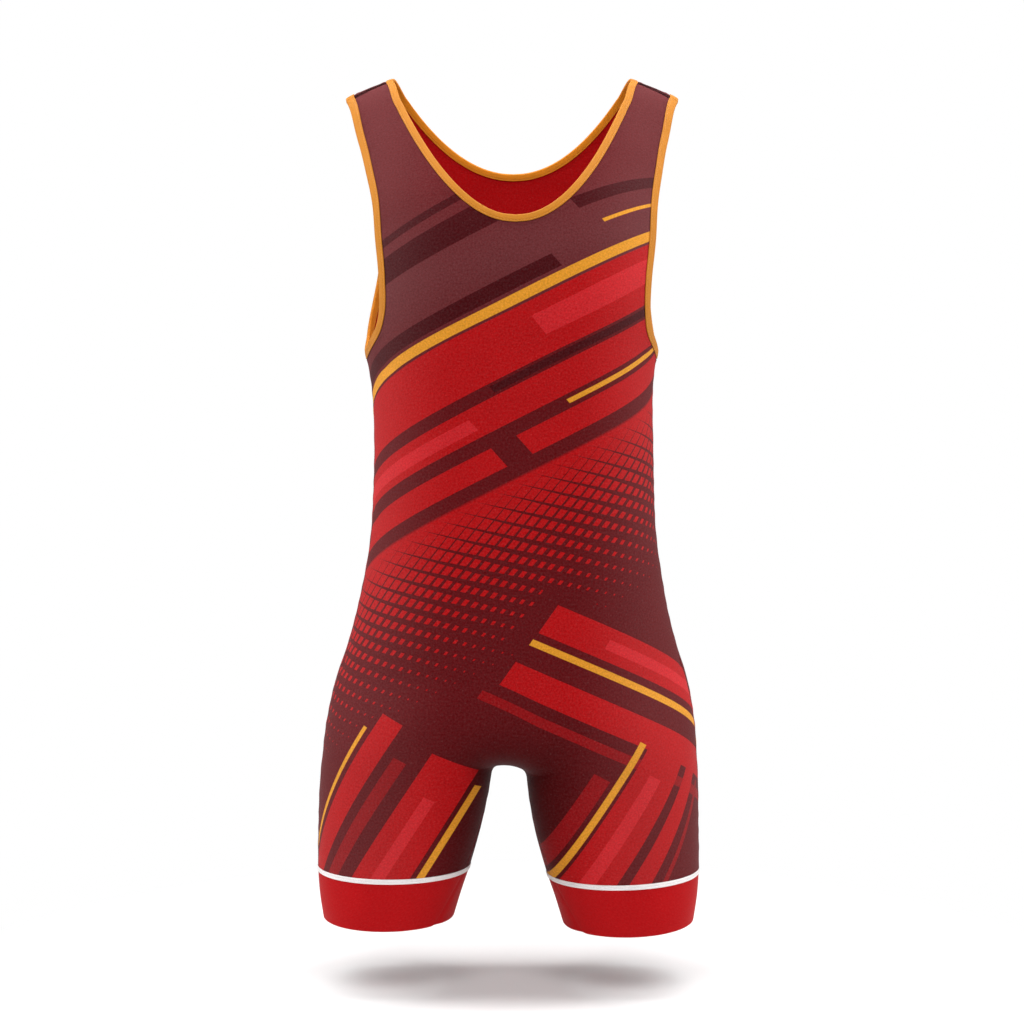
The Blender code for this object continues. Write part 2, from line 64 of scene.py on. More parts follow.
# height, half_width, leg_gap, middle, front, back, square
RINGS = (
    (-0.8265, 0.1848, 0.0545, 0.004, 0.0785, 0.0740, 0.000),
    (-0.8020, 0.1885, 0.0470, 0.004, 0.0812, 0.0785, 0.000),
    (-0.7720, 0.1903, 0.0370, 0.004, 0.0830, 0.0830, 0.000),
    (-0.7320, 0.1899, 0.0260, 0.004, 0.0885, 0.0890, 0.004),
    (-0.6920, 0.1889, 0.0185, 0.004, 0.0935, 0.0960, 0.010),
    (-0.6620, 0.1867, 0.0160, 0.004, 0.0965, 0.1030, 0.015),
    (-0.6320, 0.1839, 0.0160, 0.004, 0.0985, 0.1100, 0.020),
    (-0.5920, 0.1761, 0.0160, 0.003, 0.0995, 0.1160, 0.030),
    (-0.5520, 0.1632, 0.0160, 0.002, 0.0990, 0.1150, 0.040),
    (-0.5120, 0.1532, 0.0160, 0.001, 0.0970, 0.1050, 0.050),
    (-0.4520, 0.1430, 0.0160, 0.000, 0.0960, 0.0890, 0.060),
    (-0.4020, 0.1400, 0.0160, 0.000, 0.0965, 0.0820, 0.065),
    (-0.3420, 0.1390, 0.0160, 0.000, 0.1000, 0.0860, 0.070),
    (-0.3020, 0.1400, 0.0160, 0.000, 0.1050, 0.0930, 0.070),
    (-0.2720, 0.1440, 0.0160, 0.001, 0.1090, 0.0990, 0.070),
    (-0.2350, 0.1505, 0.0160, 0.002, 0.1130, 0.1040, 0.070),
    (-0.2000, 0.1552, 0.0160, 0.003, 0.1150, 0.1080, 0.065),
)
# y, z, lean, half_width, drop, square
SHOULDERS = (
    (-0.1090, -0.1600, 6.0, 0.1612, 0.1160, 0.055),
    (-0.1000, -0.1200, 14.0, 0.1660, 0.1140, 0.045),
    (-0.0830, -0.0800, 26.0, 0.1730, 0.1080, 0.030),
    (-0.0560, -0.0300, 42.0, 0.1810, 0.1000, 0.015),
    (-0.0220, 0.0140, 62.0, 0.1900, 0.0880, 0.000),
    (0.0200, 0.0272, 90.0, 0.1965, 0.0715, 0.000),
    (0.0600, 0.0140, 120.0, 0.1920, 0.0870, 0.000),
    (0.0860, -0.0280, 142.0, 0.1830, 0.0970, 0.015),
    (0.1010, -0.0780, 158.0, 0.1740, 0.1020, 0.030),
    (0.1080, -0.1200, 170.0, 0.1660, 0.1060, 0.045),
    (0.1110, -0.1600, 177.0, 0.1612, 0.1080, 0.055),
)
CREST_ROW = 5
NECK_HALF_WIDTH = 0.1225
# bottom, top, power
FRONT_NECK = (-0.1445, 0.0140, 2.04)
BACK_NECK = (-0.0672, 0.0215, 2.04)
# height, front_angle, back_angle
ARMHOLE = (
    (-0.2520, 62.0, 79.8),
    (-0.2330, 54.8, 69.2),
    (-0.2000, 52.9, 61.2),
    (-0.1600, 52.8, 55.5),
    (-0.1200, 53.0, 52.4),
    (-0.0800, 55.0, 53.0),
    (-0.0450, 57.5, 55.3),
    (-0.0150, 59.0, 57.8),
)
LEG_SHIFT, LEFT_LEG_DROP, LEFT_LEG_ROLL = -0.0035, 0.0055, math.tan(math.radians(2.0))
STANCE_TOP, STANCE_BOTTOM, LEG_MIDDLE = -0.55, -0.74, 0.112
# height, shift to the wearer's left, turn in radians
SWAY = (
    (-0.560, 0.0000, 0.000),
    (-0.520, 0.0004, 0.000),
    (-0.480, 0.0012, 0.000),
    (-0.420, 0.0016, 0.000),
    (-0.360, 0.0018, 0.000),
    (-0.310, 0.0006, 0.005),
    (-0.270, -0.0006, 0.018),
    (-0.235, -0.0001, 0.038),
    (-0.205, 0.0011, 0.027),
    (-0.175, 0.0026, 0.012),
    (-0.130, 0.0031, 0.000),
    (-0.090, 0.0020, 0.000),
    (-0.050, 0.0008, 0.000),
    (0.000, 0.0000, 0.000),
    (0.040, 0.0000, 0.000),
)
SWAY_HEIGHTS, SWAY_MOVES = np.array(SWAY)[:, 0], np.array(SWAY)[:, 1:]

LEG_ROWS = (-0.7776, -0.7610, -0.7430, -0.7245, -0.7060, -0.6920, -0.6830, -0.6780, -0.6758)
HIP_ROWS = (-0.6745, -0.6735, -0.6710, -0.6660, -0.6585, -0.6480, -0.6340, -0.6160, -0.5960)
WAIST_TO_CHEST = -0.3150
# rows of the fine meshes
FINER = 6  # for each leg and hip row above
BODY_ROWS, CHEST_ROWS, STRAP_ROWS = 80, 46, 90
COLUMNS = 72


# steps and limits of the searches on the form: degrees, metres of run
ANGLE_STEP, RUN_STEP = 0.5, 0.0005
MOST_TURN, MOST_RUN, ROUNDS = 3.0, 0.01, 25
ON_MIDDLE = 1e-5
MIDDLE_BLEND = 0.03  # half width over which the stance changes between the legs
NECK_KNOTS, NECK_KNOT_STEP, NECK_START = 12, 6, 0.0005  # the step is in degrees
KNOT_POINTS = 24  # places between two knots of a line


def ease(t):
    """A smooth step from 0 to 1, flat outside."""
    t = np.clip(t, 0.0, 1.0)
    return t * t * (3 - 2 * t)


def body_line():
    rows = [(mid - fr, z, 0.0, w, fr, bk, sq, gap) for z, w, gap, mid, fr, bk, sq in RINGS]
    rows += [(y, z, lean, w, drop, drop, sq, RINGS[-1][2]) for y, z, lean, w, drop, sq in SHOULDERS]
    rows += [(mid + bk, z, 180.0, w, bk, fr, sq, gap) for z, w, gap, mid, fr, bk, sq in reversed(RINGS)]
    runs = [ring[0] for ring in RINGS]
    for i in range(len(RINGS), len(rows)):
        level = i > len(RINGS) + len(SHOULDERS)
        step = rows[i - 1][1] - rows[i][1] if level else math.dist(rows[i - 1][:2], rows[i][:2])
        runs.append(runs[-1] + step)
    return np.array(runs), np.array(rows)


def slopes_of(knots, values):
    low = np.maximum(np.arange(len(knots)) - 1, 0)
    high = np.minimum(np.arange(len(knots)) + 1, len(knots) - 1)
    steps = (knots[high] - knots[low]).reshape(-1, *[1] * (values.ndim - 1))
    return (values[high] - values[low]) / steps


def smooth_value(knots, values, slopes, at):
    """Smooth curves through knots, read at many places: the last axis is the curve."""
    i = np.clip(np.searchsorted(knots, at, side="right") - 1, 0, len(knots) - 2)
    step = (knots[i + 1] - knots[i])[..., None]
    t = (at - knots[i])[..., None] / step
    rise = values[i + 1] - values[i]
    first, second = slopes[i] * step, slopes[i + 1] * step
    return values[i] + t * (first + t * (3 * rise - 2 * first - second + t * (first + second - 2 * rise)))


RUNS, KNOTS = body_line()
SLOPES = slopes_of(RUNS, KNOTS)
SWAY_SLOPES = slopes_of(SWAY_HEIGHTS, SWAY_MOVES)
BACK_RUN = float(RUNS[-1]) + HEM
SHOULDER_SEAM = float(RUNS[len(RINGS) + CREST_ROW]) - SHOULDER_SEAM_AHEAD


def legs(z, half_width, gap, back):
    """The middle of a leg's ring as a share of its half width, how far the bridge between the
    legs reaches, and the sine of the angle at the middle line."""
    split = (half_width + gap) / (half_width - gap)
    below = np.clip((CROTCH - z) / ARCH_HEIGHT, 0.0, 1.0)
    across = (1 - (1 - below) ** ARCH_POWER) ** (1 / ARCH_POWER)
    low_reach = gap * (1 + np.sqrt(np.maximum(0.0, 1 - across * across)))
    t = np.clip((z - CROTCH) / (HIP - CROTCH), 0.0, 1.0)
    share = split * (1 - ease(t))
    middle = -((1 - t) ** np.where(back, BACK_MERGE, FRONT_MERGE))
    reach = 2 * half_width / (1 + share) * (share + middle)
    under = z < CROTCH
    return np.where(under, split, share), np.where(under, low_reach, reach), np.where(under, -1.0, middle)


def form(angle, run):
    """The outer surface on the wearer's left, with even legs."""
    angle, run = np.broadcast_arrays(np.asarray(angle, float), np.asarray(run, float))
    values = smooth_value(RUNS, KNOTS, SLOPES, run)
    y, z, lean, half_width, depth, other, square, gap = np.moveaxis(values, -1, 0)
    share, reach, _ = legs(z, half_width, gap, lean > 90)
    turn, lean = np.radians(angle), np.radians(lean)
    swell = np.where(angle > 0, 1 + square * np.sin(2 * turn) ** 2, 1.0)
    x = half_width / (1 + share) * (share + np.sin(turn) * swell)
    x = np.where(x < reach, np.sqrt(np.maximum(0.0, 2 * reach * x - reach * reach)), x)
    forward = np.cos(turn) * swell
    inward = depth - np.where(forward > 0, depth, other) * forward
    return np.stack([x, y + inward * np.cos(lean), z - inward * np.sin(lean)], -1)


def middle_angle(run):
    run = np.asarray(run, float)
    values = smooth_value(RUNS, KNOTS, SLOPES, run)
    return np.degrees(np.arcsin(legs(values[..., 1], values[..., 3], values[..., 7], values[..., 2] > 90)[2]))


def gradients(angle, run):
    across = form(angle + ANGLE_STEP, run) - form(angle - ANGLE_STEP, run)
    along = (form(angle, run + RUN_STEP) - form(angle, run - RUN_STEP)) / (2 * RUN_STEP)
    return across, along


def unit(v):
    return v / np.maximum(np.linalg.norm(v, axis=-1, keepdims=True), 1e-12)


def normal(angle, run):
    across, along = gradients(angle, run)
    out = np.cross(across, along)
    out[..., 0] = np.where(form(angle, run)[..., 0] < ON_MIDDLE, 0.0, out[..., 0])
    return unit(out)


def stance(point):
    """Points moved as the garment stands: one leg lower, the trunk swayed and turned a little."""
    x, y, z = np.moveaxis(point, -1, 0)
    share = ease((STANCE_TOP - z) / (STANCE_TOP - STANCE_BOTTOM))
    drop = ease((x + MIDDLE_BLEND) / (2 * MIDDLE_BLEND)) * LEFT_LEG_DROP
    drop = drop + ease(x / MIDDLE_BLEND) * LEFT_LEG_ROLL * (LEG_MIDDLE - x)
    level = np.clip(z, SWAY_HEIGHTS[0], SWAY_HEIGHTS[-1])
    shift, turn = np.moveaxis(smooth_value(SWAY_HEIGHTS, SWAY_MOVES, SWAY_SLOPES, level), -1, 0)
    return np.stack([x + LEG_SHIFT * share + shift - turn * y, y, z - drop * share], -1)


def place(angle, run, out=0.0, side=1):
    """Points at a distance out from the surface, on the wearer's left (1) or right (-1).

    The distance and the side may be one number, or one for each point."""
    point = form(angle, run) + np.asarray(out, float)[..., None] * normal(angle, run)
    point[..., 0] *= side
    return stance(point)


def move_on_surface(angle, run, step):
    """(angle, run) moved by a small step given in space."""
    across, along = gradients(angle, run)
    aa, ab, bb = (across * across).sum(-1), (across * along).sum(-1), (along * along).sum(-1)
    ca, cb = (across * step).sum(-1), (along * step).sum(-1)
    scale = aa * bb - ab * ab
    return angle + (ca * bb - cb * ab) / scale, run + (cb * aa - ca * ab) / scale


def found(x, height, angle, run):
    """(angle, run) of the place at this x and height, looked for from a first guess."""
    for _ in range(ROUNDS):
        here = form(angle, run)
        across, along = gradients(angle, run)
        miss_x, miss_z = x - here[0], height - here[2]
        scale = across[0] * along[2] - across[2] * along[0]
        turn, climb = miss_x * along[2] - miss_z * along[0], miss_z * across[0] - miss_x * across[2]
        angle += max(-MOST_TURN, min(MOST_TURN, turn / scale))
        run += max(-MOST_RUN, min(MOST_RUN, climb / scale))
    return float(angle), float(run)


def run_at(angle, height, back):
    """The run at which a place of this angle has this height."""
    run = BACK_RUN - height if back else height
    for _ in range(ROUNDS):
        climb = (height - form(angle, run)[2]) / gradients(angle, run)[1][2]
        run += max(-2 * MOST_RUN, min(2 * MOST_RUN, climb))
    return float(run)


def line_through(knots, angle):
    """A smooth line through knots and on to an angle at the shoulder seam, as an array of pairs."""
    knots = np.array(list(knots) + [(angle, SHOULDER_SEAM)])
    ticks = np.arange(len(knots), dtype=float)
    at = np.linspace(0, len(knots) - 1, KNOT_POINTS * (len(knots) - 1) + 1)
    return smooth_value(ticks, knots, slopes_of(ticks, knots), at)


def neckline(back):
    """The neck's edge on one panel, from the middle line up to the shoulder seam."""
    bottom, top, power = BACK_NECK if back else FRONT_NECK
    guess = (2.0, BACK_RUN - bottom if back else bottom)
    knots = []
    for k in range(NECK_KNOTS):
        x = max(NECK_START, NECK_HALF_WIDTH * math.sin(math.radians(NECK_KNOT_STEP * k)))
        guess = found(x, bottom + (top - bottom) * (x / NECK_HALF_WIDTH) ** power, *guess)
        knots.append(guess)
    knots[0] = (0.0, knots[0][1])
    return line_through(knots, NECK_AT_SHOULDER)


def armhole(back):
    """The armhole's edge on one panel, from the side seam up to the shoulder seam."""
    knots = {}
    for side in (False, True):
        angles = [(row[2 if side else 1], row[0]) for row in ARMHOLE]
        knots[side] = [(angle, run_at(angle, height, side)) for angle, height in angles]
    start = (180 - SIDE_SEAM, BACK_RUN - UNDERARM) if back else (SIDE_SEAM, UNDERARM)
    beyond = knots[not back][0]
    line = [(180 - beyond[0], BACK_RUN - beyond[1]), start] + knots[back]
    return line_through(line, ARM_AT_SHOULDER)[KNOT_POINTS:]


def lengths_along(points):
    return np.concatenate([[0.0], np.cumsum(np.linalg.norm(np.diff(points, axis=0), axis=-1))])


def read_along(rows, lengths, at):
    """Rows that belong to lengths along a line, read at other lengths."""
    return np.stack([np.interp(at, lengths, column) for column in rows.T], -1)


def resampled(line, count):
    lengths = lengths_along(form(line[:, 0], line[:, 1]))
    return read_along(line, lengths, np.linspace(0, lengths[-1], count + 1))


def inward_line(line, distance, turn):
    """A line moved into the cloth. Its ends stay on the seams or on the middle line."""
    ends = np.clip(np.arange(len(line)) + 1, 0, len(line) - 1), np.clip(np.arange(len(line)) - 1, 0, None)
    across, along = gradients(line[:, 0], line[:, 1])
    delta = line[ends[0]] - line[ends[1]]
    tangent = across * delta[:, :1] + along * delta[:, 1:]
    way = unit(np.cross(normal(line[:, 0], line[:, 1]), tangent)) * distance * turn
    angle, run = move_on_surface(line[:, 0], line[:, 1], way)
    angle[0], run[-1] = line[0, 0], line[-1, 1]
    return np.stack([angle, run], -1)


def inseam_angle(z, back):
    angle = INSEAM_AT_CROTCH + (INSEAM_AT_HEM - INSEAM_AT_CROTCH) * (CROTCH - z) / (CROTCH - HEM)
    return -180 - angle if back else angle


def side_angle(back):
    return 180 - SIDE_SEAM if back else SIDE_SEAM


def finer(values, times):
    """Values with more between them."""
    values = np.asarray(values, float)
    at = np.arange(0, (len(values) - 1) * times + 1) / times
    return np.interp(at, np.arange(len(values)), values)


class Half:
    """The lines that shape half of a panel, as the solids have them but closer."""

    def __init__(self, back):
        self.back = back
        turn = -1 if back else 1
        self.neck = resampled(neckline(back), STRAP_ROWS)
        self.neck_cut = inward_line(self.neck, CUT_INSET, -turn)
        self.neck_in = inward_line(self.neck, NECK_BINDING, -turn)
        self.arm = resampled(armhole(back), CHEST_ROWS + STRAP_ROWS)
        self.arm_cut = inward_line(self.arm, CUT_INSET, turn)
        self.arm_in = inward_line(self.arm, ARM_BINDING, turn)

        def run(z):
            return BACK_RUN - z if back else z

        below = finer(list(LEG_ROWS) + [CROTCH], FINER)[:-1]
        hips = finer(list(HIP_ROWS) + [HIP], FINER)[:-1]
        body = np.linspace(HIP, WAIST_TO_CHEST, BODY_ROWS + 1)[:-1]
        chest = np.linspace(run(WAIST_TO_CHEST), self.neck_in[0, 1], CHEST_ROWS + 1)[:-1]
        middle = np.concatenate([run(hips), run(body), chest])
        self.inner = np.concatenate([
            np.stack([inseam_angle(below, back), run(below)], -1),
            np.stack([middle_angle(middle), middle], -1),
            self.neck_in,
        ])
        low = np.linspace(LEG_SEAM, HIP, len(below) + len(hips) + 1)[:-1]
        top = float(form(*self.arm_in[0])[2])
        side = np.concatenate([low, np.linspace(HIP, top, BODY_ROWS + 1)[:-1]])
        self.outer = np.concatenate([
            np.stack([np.full(len(side), side_angle(back)), run(side)], -1),
            self.arm_in,
        ])
        self.crotch_row = len(below)
        self.arm_start = len(side)
        self.neck_start = len(self.inner) - len(self.neck_in)


# ---------------- making meshes
def new_mesh(name, points, faces, materials, face_material=None, cloth=None):
    """An object with smooth faces. cloth holds (across, along, extra) per point, for the shaders."""
    mesh = bpy.data.meshes.new(name)
    mesh.from_pydata(points.tolist(), [], faces)
    for material in materials:
        mesh.materials.append(material)
    if face_material is not None:
        mesh.polygons.foreach_set("material_index", np.asarray(face_material, np.int32))
    mesh.polygons.foreach_set("use_smooth", np.ones(len(mesh.polygons), bool))
    if cloth is not None:
        layer = mesh.attributes.new("cloth", "FLOAT_VECTOR", "POINT")
        layer.data.foreach_set("vector", np.asarray(cloth, np.float32).ravel())
    mesh.validate()
    mesh.update()
    piece = bpy.data.objects.new(name, mesh)
    bpy.context.scene.collection.objects.link(piece)
    return piece


def grid_faces(ids, close_rows=False, close_columns=False):
    """Quads over a table of point numbers."""
    if close_rows:
        ids = np.concatenate([ids, ids[:1]], 0)
    if close_columns:
        ids = np.concatenate([ids, ids[:, :1]], 1)
    quads = np.stack([ids[:-1, :-1], ids[:-1, 1:], ids[1:, 1:], ids[1:, :-1]], -1)
    return quads.reshape(-1, 4)


def tube_faces(ids):
    """Quads over a table of rings, and a face over each end."""
    return grid_faces(ids, close_columns=True).tolist() + [ids[0].tolist()[::-1], ids[-1].tolist()]


def open_edges(quads):
    """Edges (a, b) that only one quad has."""
    edges = np.concatenate([quads[:, [0, 1]], quads[:, [1, 2]], quads[:, [2, 3]], quads[:, [3, 0]]])
    key = np.sort(edges, 1)
    code = key[:, 0].astype(np.int64) * (quads.max() + 1) + key[:, 1]
    _, first, count = np.unique(code, return_index=True, return_counts=True)
    return edges[first[count == 1]]


# ---------------- places on the flat cloth
LAST_ANGLE = 110  # the table has a column for each degree up to this one
INSIDE_TABLE = 0.001  # keeps a place within the table's last row and column
TABLE_RUNS = np.linspace(HEM, BACK_RUN - HEM, 700)
TABLE_POINTS = form(np.arange(LAST_ANGLE + 1.0)[None, :], TABLE_RUNS[:, None])
TABLE_STEPS = np.linalg.norm(np.diff(TABLE_POINTS, axis=1), axis=-1)
ARC = np.concatenate([np.zeros((len(TABLE_RUNS), 1)), np.cumsum(TABLE_STEPS, 1)], 1)
MIDDLE_X = TABLE_POINTS[:, 0, 0]


def cloth_place(angle, run):
    """(across, along) in metres on the flat panel: across from the middle line, along by height."""
    row = (run - HEM) / (TABLE_RUNS[1] - TABLE_RUNS[0])
    row = np.clip(row, 0, len(TABLE_RUNS) - 1 - INSIDE_TABLE)
    column = np.clip(angle, 0, LAST_ANGLE - INSIDE_TABLE)
    i, j = row.astype(int), column.astype(int)
    a, b = row - i, column - j
    below = (1 - b) * ARC[i, j] + b * ARC[i, j + 1]
    above = (1 - b) * ARC[i + 1, j] + b * ARC[i + 1, j + 1]
    arc = (1 - a) * below + a * above
    across = np.where(angle > 0, np.interp(run, TABLE_RUNS, MIDDLE_X) + arc, form(angle, run)[..., 0])
    return across, np.where(run > BACK_RUN / 2, BACK_RUN - run, run)


# ---------------- creases, listed one by one
# panel (f or b), side, across and height of both ends in mm, depth in mm, half width in mm
CREASES = (
    ("f", 1, 22, -668, 74, -640, 0.9, 6.0),
    ("f", -1, 20, -670, 68, -637, 0.8, 6.0),
    ("f", 1, 30, -690, 92, -676, 0.7, 6.0),
    ("f", -1, 32, -692, 96, -680, 0.8, 6.5),
    ("f", 1, 150, -262, 104, -286, 0.6, 7.0),
    ("f", -1, 152, -266, 108, -292, 0.7, 7.0),
    ("f", 1, 176, -396, 132, -414, 0.6, 8.0),
    ("f", -1, 178, -418, 126, -430, 0.6, 8.0),
    ("f", 1, 210, -560, 160, -596, 0.5, 8.0),
    ("f", -1, 206, -556, 158, -590, 0.5, 8.0),
    ("b", 1, 18, -664, 82, -632, 1.0, 6.5),
    ("b", -1, 20, -666, 78, -634, 0.9, 6.5),
    ("b", 1, 26, -694, 96, -684, 0.8, 6.5),
    ("b", -1, 24, -690, 92, -680, 0.8, 6.5),
    ("b", 1, 10, -426, 96, -436, 0.9, 8.5),
    ("b", -1, 12, -446, 110, -452, 0.9, 8.5),
    ("b", 1, 160, -258, 106, -284, 0.7, 7.0),
    ("b", -1, 160, -262, 110, -286, 0.7, 7.0),
)
CREASE_BOW = 0.006
CREASE_START, CREASE_END = 0.3, 0.5  # shares of its length in which a crease fades in and out
CREASE_MIDDLE, CREASE_SWELL = 1.35, 0.55  # shares of its depth that shape it across


def crease_depth(across, along, panel_key, side):
    """How far the creases move the cloth: down in each, with a slight swell on both sides."""
    moved = np.zeros(np.shape(across))
    for key, way, x0, z0, x1, z1, depth, width in CREASES:
        if key != panel_key or way != side:
            continue
        start, span = np.array((x0, z0)) * MM, np.array((x1 - x0, z1 - z0)) * MM
        length = math.hypot(*span)
        t = ((across - start[0]) * span[0] + (along - start[1]) * span[1]) / length**2
        bow = CREASE_BOW * np.sin(np.pi * np.clip(t, 0, 1))
        off = ((across - start[0]) * span[1] - (along - start[1]) * span[0]) / length + bow
        fade = ease(t / CREASE_START) * ease((1 - t) / CREASE_END)
        wide = (off / (width * MM)) ** 2
        moved -= depth * MM * fade * (CREASE_MIDDLE - CREASE_SWELL * wide) * np.exp(-wide)
    return moved


# ---------------- the panels
CROWDING = 0.55  # from 0, evenly spread, up to 1


def column_places():
    """Places across a panel, closer together near its seams."""
    even = np.linspace(0.0, 1.0, COLUMNS + 1)
    return even - CROWDING * np.sin(2 * np.pi * even) / (2 * np.pi)


def ridge(distance, middle, width):
    """1 at one distance from an edge, and less on both sides of it."""
    return np.exp(-(((distance - middle) / width) ** 2))


def seam_dip(distance, depth, width):
    return -depth * ridge(distance, 0.0, width)


# depth and half width of the grooves along seams
SHOULDER_DIP, PANEL_DIP = (0.0007, 0.0030), (0.0005, 0.0022)
# the cloth stands proud beside its bindings, and puckers beside its seams
PROUD_PLACE, PUCKER_PLACE = (0.004, 0.0025), (0.007, 0.0045)
PROUD, PUCKER, PUCKER_PITCH = 0.00030, 0.00022, 0.0205
PUCKER_SWING, PUCKER_SWING_TURNS = 1.7, 57
INSIDE_SHARE = 0.6  # of the relief outside, which shows inside


def panel(name, half, outside, inside):
    """The front or back panel: two mirrored halves, joined at the middle line."""
    t = column_places()
    spots = half.inner[:, None] + t[None, :, None] * (half.outer - half.inner)[:, None]
    rows = len(spots)
    flat = form(spots[..., 0], spots[..., 1])
    per_degree = np.linalg.norm(gradients(spots[..., 0], spots[..., 1])[0], axis=-1)
    low = slice(0, half.crotch_row)
    spots[low, 0, 0] += CLOTH_GAP / 2 / per_degree[low, 0]
    side = slice(0, half.arm_start + 1)
    spots[side, -1, 0] -= CLOTH_GAP / 2 / per_degree[side, -1]
    arm_cut, neck_cut = half.arm_cut.copy(), half.neck_cut.copy()
    arm_cut[0, 0] -= CLOTH_GAP / 2 / per_degree[half.arm_start, -1]
    back_by = CLOTH_GAP / 2 * (1 if half.back else -1)
    spots[-1, :, 1] += back_by
    arm_cut[-1, 1] += back_by
    neck_cut[-1, 1] += back_by

    to_side = np.linalg.norm(flat - flat[:, -1:], axis=-1)
    to_inner = np.linalg.norm(flat - flat[:, :1], axis=-1)
    to_shoulder = np.abs(spots[..., 1] - SHOULDER_SEAM)
    dip = seam_dip(to_shoulder, *SHOULDER_DIP)
    dip[side] += seam_dip(to_side[side], *PANEL_DIP)
    dip[low] += seam_dip(to_inner[low], *PANEL_DIP)
    beside = np.zeros((rows, COLUMNS + 1))
    beside[half.neck_start:] += ridge(to_inner[half.neck_start:], *PROUD_PLACE)
    beside[half.arm_start:] += ridge(to_side[half.arm_start:], *PROUD_PLACE)
    dip += PROUD * beside
    run = spots[..., 1]
    beside[side] += ridge(to_side[side], *PUCKER_PLACE)
    beside[low] += ridge(to_inner[low], *PUCKER_PLACE)
    swing = PUCKER_SWING * np.sin(PUCKER_SWING_TURNS * run)
    dip += PUCKER * np.sin(2 * np.pi * run / PUCKER_PITCH + swing) * beside

    angle, run = np.concatenate([spots.reshape(-1, 2), neck_cut, arm_cut]).T
    dip = np.concatenate([dip.ravel(), np.zeros(len(neck_cut) + len(arm_cut))])
    across, along = cloth_place(angle, run)

    ids = np.arange(rows * (COLUMNS + 1)).reshape(rows, COLUMNS + 1)
    neck_ids = ids.size + np.arange(len(neck_cut))
    arm_ids = neck_ids[-1] + 1 + np.arange(len(arm_cut))
    quads = np.concatenate([
        grid_faces(ids),
        grid_faces(np.stack([neck_ids, ids[half.neck_start:, 0]], 1)),
        grid_faces(np.stack([ids[half.arm_start:, -1], arm_ids], 1)),
    ])
    shared = np.zeros(len(angle), bool)
    shared[ids[half.crotch_row:half.neck_start + 1, 0]] = True
    shared[neck_ids[0]] = True
    other = np.where(shared, np.arange(len(angle)), len(angle) + np.cumsum(~shared) - 1)
    key = "b" if half.back else "f"
    outer, inner, cloth = [], [], []
    for sign in (1, -1):
        keep = np.ones(len(angle), bool) if sign == 1 else ~shared
        moved = dip + crease_depth(across, along, key, sign)
        for layer, out in ((outer, moved), (inner, INSIDE_SHARE * moved - WALL)):
            point = place(angle, run, out, sign)
            point[ids[half.crotch_row, 0], 1] += 2 * back_by
            layer.append(point[keep])
        cloth.append(np.stack([sign * across, along, np.full(len(across), 1.0)], -1)[keep])
    outer, inner, cloth = (np.concatenate(layer) for layer in (outer, inner, cloth))
    both = np.concatenate([quads, other[quads][:, ::-1]])
    # the inward side has the same quads, the other way round, and a rim joins the two
    count = len(outer)
    rim = open_edges(both)
    walls = np.stack([rim[:, 1], rim[:, 0], rim[:, 0] + count, rim[:, 1] + count], -1)
    faces = np.concatenate([both, both[:, ::-1] + count, walls])
    if outward_sign(outer, both) < 0:
        faces = faces[:, ::-1]
    material = np.concatenate([np.zeros(len(both)), np.ones(len(both) + len(walls))])
    return new_mesh(name, np.concatenate([outer, inner]), faces.tolist(), [outside, inside], material,
                    np.concatenate([cloth, cloth]))


def outward_sign(points, quads):
    """1 where the quads face away from the body's axis, or else -1."""
    a, b, c = (points[quads[:, k]] for k in (0, 1, 2))
    facing = np.cross(b - a, c - a)
    centre = (a + c) / 2
    away = np.stack([np.zeros(len(centre)), centre[:, 1], np.zeros(len(centre))], -1)
    return float(np.sign((facing * away).sum()))


# ---------------- leg bands and stripes
RING_COLUMNS = 96
BAND_SEAM_LEAN = 23.0  # degrees that the band's seam turns forward from its top to its hem
HEM_LIFT = 0.0008  # of the hem at the band's seam
LIFT_INWARD, LIFT_FORWARD = 0.013, 0.0045  # how far it reaches on both sides of the seam
GROOVE_WIDTH, HOLLOW_WIDTH, HOLLOW_SHARE = 0.0016, 0.0055, 0.6  # the seam, and the hollow round it


def leg_ring_places(height):
    """(angle, run) once round a leg, from the inseam over the front to the side and the back."""
    parts = []
    for back in (False, True):
        first, last = inseam_angle(height, back), side_angle(back)
        angles = first + (last - first) * np.linspace(0.0, 1.0, RING_COLUMNS + 1)
        part = np.stack([angles, np.full(len(angles), BACK_RUN - height if back else height)], -1)
        parts.append(part[::-1][1:-1] if back else part)
    return np.concatenate(parts)


